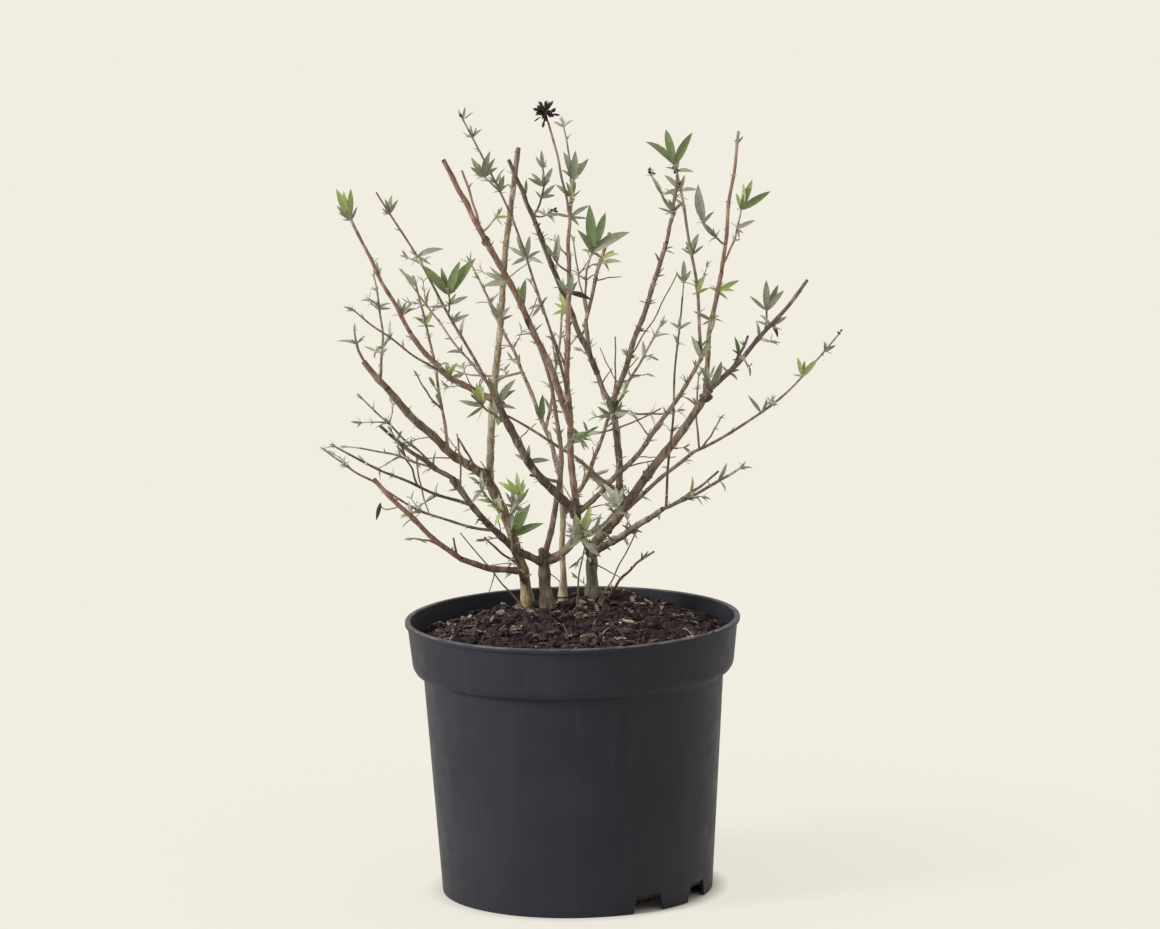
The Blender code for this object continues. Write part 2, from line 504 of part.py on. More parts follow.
def leaf_at(limb, t, turn, tilt, length, chance):
    """Root, shoulder, tip and broad direction of a leaf that leaves the limb at t."""
    axis = limb.axis(t)
    out = (limb.side * math.cos(turn) + limb.lift * math.sin(turn)).normalized()
    out = (out - axis * out.dot(axis)).normalized()
    aim = axis * math.cos(tilt) + out * math.sin(tilt)
    shift = axis * chance.uniform(-ROOT_SHIFT, ROOT_SHIFT) * MM
    root = limb.at(t) - aim * limb.radius(t) * ROOT_PAST_AXIS + shift
    shoulder = root + aim * length * LEAF_SHOULDER
    droop = out * math.sin(tilt) + DOWN * WEIGHT_IN_DROOP
    tip = root + aim * length + droop * length * LEAF_DROOP
    return root, shoulder, tip, axis.cross(out)


def placed_leaf(limb, t, tip_seen, chance):
    """A leaf from t whose tip is seen at a given place. Its tip's depth and its turn about its rib are drawn."""
    middle = limb.at(t)
    reach = (Vector(tip_seen) - as_seen(middle)).length
    deep = middle.y / MM + chance.uniform(-TUFT_DEPTH, TUFT_DEPTH) * reach
    tip = seen(tip_seen[0], deep, tip_seen[1])
    axis = limb.axis(t)
    shift = axis * chance.uniform(-ROOT_SHIFT, ROOT_SHIFT) * MM
    root = middle - (tip - middle).normalized() * limb.radius(t) * ROOT_PAST_AXIS + shift
    shoulder = root.lerp(tip, LEAF_SHOULDER) + axis * (tip - root).length * TUFT_BOW
    turn = chance.uniform(-TUFT_TURN, TUFT_TURN)
    above = Vector((0, -1, 0)) * math.cos(turn) + axis * math.sin(turn)
    return root, shoulder, tip, above.cross(tip - root)


def grow_tuft(limb, root_seen, tips, chance):
    """The leaves of one tuft, all from the limb's point that is seen nearest to the tuft's root."""
    places = [i / PLACE_STEPS for i in range(PLACE_STEPS + 1)]
    t = min(places, key=lambda place: (as_seen(limb.at(place)) - Vector(root_seen)).length)
    return [placed_leaf(limb, t, tip, chance) for tip in tips]


def grow_leaves(limb, nodes, tip_length, chance):
    """Opposite pairs at the nodes, each turned a quarter from the last, and a tuft on an unpruned tip."""
    leaves = []
    turn = chance.uniform(0, math.pi)
    for i in range(nodes):
        place = FIRST_NODE + i + chance.uniform(-NODE_SHIFT, NODE_SHIFT)
        t = place / (FIRST_NODE + nodes - 1 + LAST_NODE)
        for half in (0, math.pi):
            length = chance.uniform(*NODE_LEAVES) * MM
            tilt = math.radians(chance.uniform(*NODE_TILT))
            angle = turn + half + chance.uniform(-TURN_SHIFT, TURN_SHIFT)
            leaves.append(leaf_at(limb, t, angle, tilt, length, chance))
        turn += math.pi / 2 + chance.uniform(-TURN_SHIFT, TURN_SHIFT)
    if tip_length:
        count = LARGE_TUFT if tip_length >= LARGE_LEAF else SMALL_TUFT
        for i in range(count):
            inner = i >= OUTER_LEAVES
            length = tip_length * chance.uniform(*TIP_LENGTH) * (INNER_LENGTH if inner else 1.0) * MM
            tilt = math.radians(chance.uniform(*TIP_TILT) * (INNER_TILT if inner else 1.0))
            quarter = math.pi / 2 if inner else 0.0
            angle = turn + math.pi * i + quarter + chance.uniform(-TURN_SHIFT, TURN_SHIFT)
            t = 1 - (INNER_BACK if inner else OUTER_BACK) * MM / limb.length
            leaves.append(leaf_at(limb, t, angle, tilt, length, chance))
    return leaves


def make_leaves(limb, nodes, tip_length, space):
    leaves = []
    for name, root_seen, tips in TUFTS:
        if name == limb.name:
            leaves += grow_tuft(limb, root_seen, tips, random.Random(f"{name} {root_seen}"))
    leaves += grow_leaves(limb, nodes, tip_length, random.Random(limb.name + " leaves"))
    made = []
    for root, shoulder, tip, across in leaves:
        half_width = (tip - root).length * LEAF_WIDTH / 2
        if not space.free(root, shoulder, tip, half_width, limb.node):
            continue
        space.take(root, shoulder, tip, half_width, limb.node)
        half_depth = LEAF_THICKNESS * MM / 2
        made.append(lozenge("leaf", root, shoulder, tip, half_width, half_depth, across))
    return made


def make_seed_head(limb, count, spread, space):
    """Dry pods that stand out all round from the end of a twig, in a spiral round a short core."""
    chance = random.Random(limb.name + " pods")
    axis = limb.axis(1.0)
    middle = limb.tip + axis * spread * HEAD_OFFSET * MM
    width = limb.widths[1] * CORE_WIDTH / MM
    core = Limb("core", limb.at(CORE_START), middle, (0, 0), (width, width))
    made = [tube("core", core, SHOOT_SIDES, SHOOT_STEP)]
    for i in range(count):
        rise = 1 - 2 * (i + 0.5) / count
        turn = SPIRAL_TURN * i
        flat = math.sqrt(1 - rise * rise)
        aim = Vector((flat * math.cos(turn), flat * math.sin(turn), rise))
        aim = (aim + axis * HEAD_LEAN).normalized()
        root = middle - aim * POD_ROOT * MM
        tip = middle + aim * (spread + chance.uniform(*POD_REACH)) * MM
        shoulder = root.lerp(tip, POD_SHOULDER)
        half = chance.uniform(*POD_HALF_WIDTH) * MM
        if space.free(root, tip, tip, half, limb.node):
            made.append(lozenge("pod", root, shoulder, tip, half, half, aim.orthogonal()))
            space.take(root, tip, tip, half, limb.node)
    return made


def evaluated_mesh(solid):
    graph = bpy.context.evaluated_depsgraph_get()
    return bpy.data.meshes.new_from_object(solid.evaluated_get(graph))


def apply_modifiers(solid):
    mesh = evaluated_mesh(solid)
    solid.modifiers.clear()
    solid.data = mesh


def closed(mesh):
    """Whether every edge of a mesh joins exactly two faces."""
    shape = bmesh.new()
    shape.from_mesh(mesh)
    whole = all(edge.is_manifold for edge in shape.edges)
    shape.free()
    return whole


def fuse(solid, others):
    """One union of a solid with a collection of others, which are then removed."""
    if not others:
        return
    group = bpy.data.collections.new(solid.name + " parts")
    bpy.context.scene.collection.children.link(group)
    for other in others:
        bpy.context.scene.collection.objects.unlink(other)
        group.objects.link(other)
    union = solid.modifiers.new("Union", "BOOLEAN")
    union.operation = "UNION"
    union.operand_type = "COLLECTION"
    union.collection = group
    if not closed(evaluated_mesh(solid)):
        union.solver = "MANIFOLD"
    apply_modifiers(solid)
    for other in others:
        bpy.data.objects.remove(other, do_unlink=True)
    bpy.data.collections.remove(group)


def cut(solid, cutter):
    difference = solid.modifiers.new("Cut", "BOOLEAN")
    difference.operation = "DIFFERENCE"
    difference.object = cutter
    apply_modifiers(solid)
    bpy.data.objects.remove(cutter, do_unlink=True)


def keep_main_body(solid):
    """Drops loose scraps and fills sealed hollows: only the shell with the most volume stays."""
    shape = bmesh.new()
    shape.from_mesh(solid.data)
    shape.verts.ensure_lookup_table()
    shells = []
    waiting = set(shape.verts)
    while waiting:
        front = [waiting.pop()]
        shell = set(front)
        while front:
            vert = front.pop()
            for edge in vert.link_edges:
                other = edge.other_vert(vert)
                if other in waiting:
                    waiting.discard(other)
                    shell.add(other)
                    front.append(other)
        shells.append(shell)

    def volume(shell):
        faces = {face for vert in shell for face in vert.link_faces}
        total = 0.0
        for face in faces:
            corners = [vert.co for vert in face.verts]
            for a, b in zip(corners[1:], corners[2:]):
                total += corners[0].dot(a.cross(b))
        return total

    main = max(shells, key=volume)
    spare = [vert for shell in shells if shell is not main for vert in shell]
    bmesh.ops.delete(shape, geom=spare, context="VERTS")
    shape.to_mesh(solid.data)
    shape.free()


def near_base(limb, other):
    """Whether another limb passes close to where this one starts."""
    reach = BASE_REACH * max(other.widths[0], limb.widths[0])
    t = min(reach / limb.length, 1.0)
    a, b = limb.at(0), limb.at(t)
    keep = limb.radius(0) + GAP
    return any(
        segment_distance(a, b, c, d) < keep + radius for c, d, radius, _ in other.capsules(BOUGH_STEP / 3)
    )


def sides_and_step(limb):
    if limb.node.startswith("stem"):
        return STEM_SIDES, BOUGH_STEP
    if limb.node.startswith("bough"):
        return BOUGH_SIDES, BOUGH_STEP
    return SHOOT_SIDES, SHOOT_STEP


def clear_of_neighbours(solid, limb, built):
    """Cuts a limb back to a gap from the limbs it starts in or beside."""
    touched = False
    for other in built:
        if other.node != limb.node and near_base(limb, other):
            sides, step = sides_and_step(other)
            cut(solid, tube("cutter", other, sides, step, extra=GAP))
            touched = True
    if touched:
        keep_main_body(solid)


def material(name, colour, roughness):
    made = bpy.data.materials.new(name)
    made.use_nodes = True
    shader = made.node_tree.nodes["Principled BSDF"]
    shader.inputs["Base Color"].default_value = (*colour, 1.0)
    shader.inputs["Roughness"].default_value = roughness
    shader.inputs["Metallic"].default_value = 0.0
    return made


def finish(solid, colour, roughness, smooth=True):
    solid.data.materials.clear()
    solid.data.materials.append(material(solid.name, colour, roughness))
    if smooth:
        solid.data.shade_smooth()
        solid.data.set_sharp_from_angle(angle=SMOOTH_ANGLE)


def revolve(name, profile, segments):
    """Turns a profile of (radius, height) in mm about the Z axis. A radius of 0 closes it there."""
    shape = bmesh.new()
    rings = []
    for radius, height in profile:
        if radius == 0:
            rings.append([shape.verts.new((0, 0, height * MM))])
            continue
        turns = [2 * math.pi * i / segments for i in range(segments)]
        rings.append(
            [
                shape.verts.new((radius * MM * math.cos(a), radius * MM * math.sin(a), height * MM))
                for a in turns
            ]
        )
    for low, high in zip(rings, rings[1:]):
        for i in range(segments):
            j = (i + 1) % segments
            corners = [low[i % len(low)], low[j % len(low)], high[j % len(high)], high[i % len(high)]]
            unique = list(dict.fromkeys(corners))
            shape.faces.new(unique)
    bmesh.ops.recalc_face_normals(shape, faces=shape.faces)
    return new_object(name, shape)


def inner_radius(height):
    """The radius of the pot's inside at a height, both in mm."""
    if height <= STEP_HEIGHT:
        slope = (STEP_RADIUS - FOOT_RADIUS) / STEP_HEIGHT
        return FOOT_RADIUS + slope * height - POT_WALL
    slope = (COLLAR_TOP_RADIUS - COLLAR_FOOT_RADIUS) / (POT_HEIGHT - COLLAR_FOOT_HEIGHT)
    return COLLAR_FOOT_RADIUS + slope * (height - COLLAR_FOOT_HEIGHT) - POT_WALL


def notch_cutter(angle):
    """A block with sloping sides that opens the foot of the pot, turned from straight in front."""
    shape = bmesh.new()
    low, high = NOTCH_WIDTH / 2, NOTCH_WIDTH / 2 - NOTCH_SLOPE
    inner, outer = FOOT_RADIUS - NOTCH_INSIDE, FOOT_RADIUS + NOTCH_OUTSIDE
    outline = ((-low, -1), (low, -1), (high, NOTCH_HEIGHT), (-high, NOTCH_HEIGHT))
    ends = [
        [shape.verts.new((x * MM, -depth * MM, z * MM)) for x, z in outline] for depth in (inner, outer)
    ]
    for i in range(4):
        j = (i + 1) % 4
        shape.faces.new((ends[0][i], ends[0][j], ends[1][j], ends[1][i]))
    shape.faces.new(ends[0])
    shape.faces.new(ends[1])
    bmesh.ops.recalc_face_normals(shape, faces=shape.faces)
    bmesh.ops.rotate(
        shape,
        verts=shape.verts,
        cent=(0, 0, 0),
        matrix=Matrix.Rotation(math.radians(angle), 3, "Z"),
    )
    return new_object("notch", shape)


def make_pot():
    """A thin shell with a rolled lip, a deep collar, and a raised floor with a flat pad in its middle."""
    floor = FLOOR_UNDERSIDE + POT_WALL
    foot_inside = FOOT_RADIUS - POT_WALL
    lip_foot = POT_HEIGHT - LIP_HEIGHT
    profile = (
        (0, 0),
        (PAD_RADIUS, 0),
        (PAD_RADIUS + PAD_SLOPE, FLOOR_UNDERSIDE),
        (foot_inside, FLOOR_UNDERSIDE),
        (foot_inside, 0),
        (FOOT_RADIUS, 0),
        (STEP_RADIUS, STEP_HEIGHT),
        (COLLAR_FOOT_RADIUS - COLLAR_ROUNDING, STEP_HEIGHT + COLLAR_ROUNDING),
        (COLLAR_FOOT_RADIUS, COLLAR_FOOT_HEIGHT),
        (COLLAR_TOP_RADIUS, lip_foot - LIP_ROUNDING),
        (RIM_RADIUS, lip_foot),
        (RIM_RADIUS, POT_HEIGHT - LIP_ROUNDING),
        (RIM_RADIUS - LIP_ROUNDING, POT_HEIGHT),
        (inner_radius(POT_HEIGHT), POT_HEIGHT),
        (inner_radius(COLLAR_FOOT_HEIGHT), COLLAR_FOOT_HEIGHT),
        (inner_radius(STEP_HEIGHT), STEP_HEIGHT),
        (inner_radius(floor), floor),
        (PAD_RADIUS + PAD_SLOPE - POT_WALL, floor),
        (PAD_RADIUS - POT_WALL, POT_WALL),
        (0, POT_WALL),
    )
    pot = revolve("pot", profile, POT_SEGMENTS)
    for angle in NOTCH_ANGLES:
        cut(pot, notch_cutter(angle))
    keep_main_body(pot)
    finish(pot, POT_COLOUR, POT_ROUGHNESS)


def soil_height(x, y, chance):
    """The mound: level at the seat, falling to the pot's wall, with small seeded bumps."""
    away = math.hypot(x - SEAT.x, y - SEAT.y) - SEAT_RADIUS
    edge = inner_radius(POT_HEIGHT) - math.hypot(x, y)
    if away < SOIL_CLEARANCE:
        return SEAT.z
    share = edge / (edge + away)
    smooth = share * share * (3 - 2 * share)
    rise = SOIL_EDGE_HEIGHT + (SEAT.z - SOIL_EDGE_HEIGHT) * smooth
    return rise + chance.uniform(-SOIL_BUMP, SOIL_BUMP) * min(1.0, edge / SOIL_CALM_EDGE)


def make_soil():
    """The root ball: it fills the pot up to the mound that the stems stand on."""
    chance = random.Random("soil")
    shape = bmesh.new()
    turns = [2 * math.pi * i / POT_SEGMENTS for i in range(POT_SEGMENTS)]
    wall_radius = inner_radius(SOIL_EDGE_HEIGHT) - SOIL_CLEARANCE
    rings = []
    for k in range(SOIL_RINGS + 1):
        share = k / SOIL_RINGS
        radius = SEAT_RADIUS + (wall_radius - SEAT_RADIUS) * share
        middle = Vector((SEAT.x, SEAT.y)) * (1 - share)
        ring = []
        for a in turns:
            x, y = middle.x + radius * math.cos(a), middle.y + radius * math.sin(a)
            ring.append(shape.verts.new(Vector((x, y, soil_height(x, y, chance))) * MM))
        rings.append(ring)
    floor = FLOOR_UNDERSIDE + POT_WALL + GAP / MM
    for height in (STEP_HEIGHT, floor):
        radius = inner_radius(height) - SOIL_CLEARANCE
        points = [(radius * math.cos(a), radius * math.sin(a), height) for a in turns]
        rings.append([shape.verts.new(Vector(point) * MM) for point in points])
    shape.faces.new(rings[0])
    for outer, inner in zip(rings[1:], rings):
        for i in range(POT_SEGMENTS):
            j = (i + 1) % POT_SEGMENTS
            shape.faces.new((inner[j], inner[i], outer[i], outer[j]))
    shape.faces.new(reversed(rings[-1]))
    bmesh.ops.recalc_face_normals(shape, faces=shape.faces)
    finish(new_object("soil", shape), SOIL_COLOUR, SOIL_ROUGHNESS, smooth=False)


def make_plant():
    limbs = grow_all_limbs()
    space = Space(limbs)
    habits = {row[0]: row[6:] for row in SHOOTS}
    built = []
    for row in STEMS + BOUGHS:
        limb = limbs[row[0]]
        sides, step = sides_and_step(limb)
        solid = tube(limb.name, limb, sides, step)
        clear_of_neighbours(solid, limb, built)
        built.append(limb)
        finish(solid, STEM_COLOURS.get(limb.name, BARK_COLOUR), BARK_ROUGHNESS)
    for lead_name in [row[0] for row in SHOOTS if "." not in row[0]]:
        lead = limbs[lead_name]
        solid = tube(lead.name, lead, SHOOT_SIDES, SHOOT_STEP)
        clear_of_neighbours(solid, lead, built)
        family = [limb for limb in limbs.values() if limb.node == lead.node]
        parts = []
        for limb in family:
            if limb is not lead:
                parts.append(tube("shoot", limb, SHOOT_SIDES, SHOOT_STEP))
            parts += make_leaves(limb, *habits[limb.name], space)
            if limb.name in SEED_HEADS:
                parts += make_seed_head(limb, *SEED_HEADS[limb.name], space)
        fuse(solid, parts)
        keep_main_body(solid)
        built.append(lead)
        finish(solid, SPRAY_COLOUR, SPRAY_ROUGHNESS, smooth=False)


clear_scene()
make_pot()
make_soil()
make_plant()
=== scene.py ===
"""The looks of a butterfly bush in its black nursery pot, in early spring, on a pale studio floor.

The limbs grow by the same rows and the same rule as the solids, so that bark, twigs and leaves lie where the
solids lie. Here they get swollen nodes and ridged bark, finer twigs, and a tuft of small leaves at every node.
Lengths in the tables are millimetres, and everything in the scene is metres, +Z up.
"""

import math
import random

import bmesh
import bpy
from mathutils import Matrix, Vector, noise


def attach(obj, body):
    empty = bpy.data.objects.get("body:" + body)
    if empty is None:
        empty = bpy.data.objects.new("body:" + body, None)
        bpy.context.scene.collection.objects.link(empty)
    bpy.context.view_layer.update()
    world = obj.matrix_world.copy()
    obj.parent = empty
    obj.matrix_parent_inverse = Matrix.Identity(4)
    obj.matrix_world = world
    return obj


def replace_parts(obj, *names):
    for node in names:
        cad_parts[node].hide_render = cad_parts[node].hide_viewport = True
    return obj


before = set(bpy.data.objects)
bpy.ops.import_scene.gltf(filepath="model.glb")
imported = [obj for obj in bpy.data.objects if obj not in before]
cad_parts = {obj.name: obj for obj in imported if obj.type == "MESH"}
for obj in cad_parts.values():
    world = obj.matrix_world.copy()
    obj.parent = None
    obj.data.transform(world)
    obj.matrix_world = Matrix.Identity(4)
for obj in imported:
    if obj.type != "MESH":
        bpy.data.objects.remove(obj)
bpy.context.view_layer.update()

MM = 0.001
GAP = 0.35 * MM
DOWN = Vector((0, 0, -1))

# The camera, in metres: 5 m in front of the pot's axis, looking down a little, and turned slightly on its axis.
IMAGE_WIDTH = 1160
FOCAL_PIXELS = 6090
SENSOR_WIDTH = 36.0
CAMERA_PLACE = Vector((0.0088, -5.0, 1.2))
CAMERA_AIM = Vector((0.0088, 0.0, 0.36))
CAMERA_ROLL = 1.13

# The eye of the tables, in mm. A place given as (across, deep, up) is where the eye sees it against the upright
# plane through the pot's axis, and how far behind that plane it really is.
EYE = Vector((9.0, -5000.0, 1200.0))

# The pot, in mm.
POT_SEGMENTS = 144
POT_HEIGHT = 231.0
RIM_RADIUS = 140.0
LIP_HEIGHT = 3.5
LIP_ROUNDING = 1.2
COLLAR_TOP_RADIUS = 137.8
COLLAR_FOOT_RADIUS = 134.2
COLLAR_FOOT_HEIGHT = 192.0
COLLAR_ROUNDING = 2.8
STEP_HEIGHT = 184.5
STEP_RADIUS = 125.5
FOOT_RADIUS = 113.5
POT_WALL = 2.2
FLOOR_UNDERSIDE = 9.0
PAD_RADIUS = 30.0
PAD_SLOPE = 2.0
NOTCH_ANGLES = (31.0, 61.0, 211.0, 241.0)
NOTCH_WIDTH = 30.0
NOTCH_HEIGHT = 15.0
NOTCH_SLOPE = 4.0
NOTCH_INSIDE = 9.0
NOTCH_OUTSIDE = 6.0
POT_WOBBLE = 0.35

# The soil, in mm.
SEAT = Vector((-5.0, 57.0, 232.0))
SEAT_RADIUS = 44.0
SOIL_EDGE_HEIGHT = 215.0
SOIL_CLEARANCE = 0.5
SOIL_WAVES = ((30.0, 2.6), (11.0, 4.2), (5.0, 2.6), (2.2, 1.1))
SOIL_RINGS = 100
SOIL_SEGMENTS = 300

CLODS = 620
CRUMBS = 2400
CHIPS = 460
FIBRES = 230
GRAINS = 16
# Pale chips that the photo shows: place (x, y), length, width and skin: 2 grey, 3 pale.
PLACED_CHIPS = (
    (-112, 38, 13, 4, 3),
    (-101, 46, 10, 3, 3),
    (-92, 52, 12, 3, 2),
    (-81, 60, 8, 3, 3),
    (-86, 24, 5, 3, 3),
    (-60, 18, 13, 6, 2),
    (50, 57, 13, 4, 3),
    (62, 64, 15, 4, 3),
    (74, 44, 14, 3, 3),
    (86, 30, 16, 4, 2),
    (30, 78, 18, 7, 2),
    (46, 22, 16, 4, 2),
    (8, 44, 9, 4, 3),
    (12, -8, 10, 3, 3),
    (40, -62, 10, 3, 3),
    (96, -52, 11, 4, 2),
    (6, 30, 12, 4, 2),
)
# A crumb or two of peat left on the rim: (x, y), with how far they spread.
RIM_CLUMP = (109.0, -80.0, 5.0)

# How limbs are drawn, in mm.
TANGENT_STEP = 0.01
ROOT_FLARE = 2.6
ROOT_FLARE_HEIGHT = 9.0
FULL_FLARE_WIDTH = 8.0
WANDER = 0.006
MOST_WANDER = 0.8
WANDER_WAVES = (1.2, 2.4)
LIFT_WAVES = 1.3
BOUGH_SIDES = 14
BOUGH_STEP = 1.8
TWIG_SIDES = 7
TWIG_STEP = 3.0
STEM_SINK = 12.0
NODE_SPACING = 25.0
THICK_SPACING = 15.0
THICK_MORE = 0.2
THICK_ACROSS = (-0.115, 0.062)
THICK_UP = (0.295, 0.48)
NODE_SWELLING = 0.15
FOOT_SWELLING = 0.22
BARK_RELIEF = 0.085

# How leaves grow: lengths in mm, tilts in degrees, turns in radians, the rest as shares.
LEAF_WIDTH = 0.28
LEAF_SHOULDER = 0.42
LEAF_DROOP = 0.1
WEIGHT_IN_DROOP = 0.5
ROOT_PAST_AXIS = 0.3
ROOT_SHIFT = 0.4
NODE_LEAVES = (10.0, 18.0)
NODE_TILT = (42.0, 68.0)
FIRST_NODE = 0.75
NODE_SHIFT = 0.15
LAST_NODE = 0.7
TURN_SHIFT = 0.25
TIP_TILT = (16.0, 44.0)
TIP_LENGTH = (0.8, 1.0)
LARGE_LEAF = 17
LARGE_TUFT = 4
SMALL_TUFT = 3
OUTER_LEAVES = 2
OUTER_BACK = 2.6
INNER_BACK = 1.2
INNER_LENGTH = 0.75
INNER_TILT = 0.5
SMALL_LEAVES = (5.0, 10.0)
SMALL_TILT = (18.0, 62.0)
SMALL_TURN = 0.8
LEAFY_TWIG = (10.0, 24.0)
DEAD_TWIG = (14.0, 46.0)
LAST_TWIG = 0.75
LEAF_STATIONS = (0.1, 0.26, 0.45, 0.65, 0.84)
LEAF_FOLD = 0.32
LEAF_ARCH = 0.05
LEAF_HALF_THICKNESS = 0.13
LANCE_WIDTH = 0.22
TUFT_DEPTH = 0.5
TUFT_TURN = 0.9
TUFT_BOW = 0.07
PLACE_STEPS = 60
NEAR_TUFT = 9.0
FELT_REACH = 16.0

# The pods of a dry seed head: lengths in mm, the rest as shares.
SPIRAL_TURN = 2.4
HEAD_LEAN = 0.35
HEAD_OFFSET = 0.8
CORE_START = 0.94
POD_REACH = (-5.5, 3.4)
POD_HALF_WIDTH = (0.6, 1.35)
POD_JITTER = 0.35
STALK_HALF_WIDTH = 0.4

# Stems: name, foot (x, y), tip (across, deep, up), bow (across, up), width at foot and tip.
STEMS = (
    ("stem_left", (-37, 45), (-70, 25, 352), (6, 0), (8.6, 8.2)),
    ("stem_middle", (-20, 28), (-23, 26, 283), (-1, 0), (10.5, 8.6)),
    ("stem_right", (17, 66), (17, 62, 289), (0, 0), (9.2, 8.6)),
    ("stem_back", (-8, 85), (-8, 92, 350), (1, 0), (5.4, 4.4)),
    ("stem_low_right", (30, 66), (69, 22, 285), (-3, 3), (2.4, 1.8)),
)

# Boughs: name, what it grows from and how far along that, tip, bow, width at foot and tip.
BOUGHS = (
    ("bough_low_left", "stem_left", 0.27, (-92, -8, 282), (0, -3), (5.6, 4.7)),
    ("bough_thick_left", "stem_left", 1.0, (-150, -30, 427), (0, -7), (7.4, 5.6)),
    ("bough_tall", "stem_left", 0.95, (-37, 86, 626), (-3, 0), (6.2, 4.2)),
    ("bough_fan", "stem_middle", 0.88, (-97, -6, 350), (0, -12), (6.4, 4.7)),
    ("bough_centre", "stem_middle", 0.9, (5, 22, 324), (9, -8), (7.0, 6.4)),
    ("bough_middle", "bough_centre", 0.95, (-60, -26, 416), (-3, -9), (7.0, 6.2)),
    ("bough_long_left", "bough_middle", 1.0, (-130, -62, 474), (-5, -7), (5.6, 3.7)),
    ("bough_leader", "bough_centre", 1.0, (3, 8, 511), (-4, 0), (5.8, 3.8)),
    ("bough_upper_left", "bough_leader", 0.38, (-66, -50, 550), (5, 0), (5.4, 4.8)),
    ("bough_right", "stem_right", 1.0, (118, 22, 421), (1, -2), (8.4, 5.8)),
    ("bough_fork", "bough_right", 0.23, (37, 48, 411), (2, 0), (6.0, 5.4)),
    ("bough_inner_right", "bough_fork", 1.0, (84, -42, 545), (1, 0), (4.8, 3.4)),
    ("bough_back_upper", "bough_fork", 0.96, (16, 78, 480), (-5, 0), (4.2, 3.4)),
    ("bough_dark", "bough_back_upper", 0.4, (-24, 12, 563), (-1, 0), (4.6, 4.2)),
    ("bough_crossing", "bough_centre", 0.93, (111, -30, 447), (3, -9), (4.6, 3.2)),
    ("bough_right_tall", "bough_right", 0.96, (129, 62, 518), (-3, 0), (4.3, 3.7)),
    ("bough_low_right", "stem_right", 0.9, (77, -38, 321), (0, -1), (6.4, 4.2)),
    ("bough_arching", "bough_right", 0.17, (104, 98, 369), (0, 2), (3.8, 3.0)),
    ("bough_back_left", "stem_back", 1.0, (-34, 150, 430), (3, -4), (4.2, 3.2)),
    ("bough_back_right", "stem_back", 0.68, (32, 152, 396), (2, -6), (3.8, 3.0)),
    ("bough_front_left", "stem_left", 0.17, (-50, -62, 316), (-2, -4), (4.2, 3.2)),
    ("bough_front_right", "stem_right", 0.72, (9, -48, 298), (2, -4), (4.2, 3.2)),
)

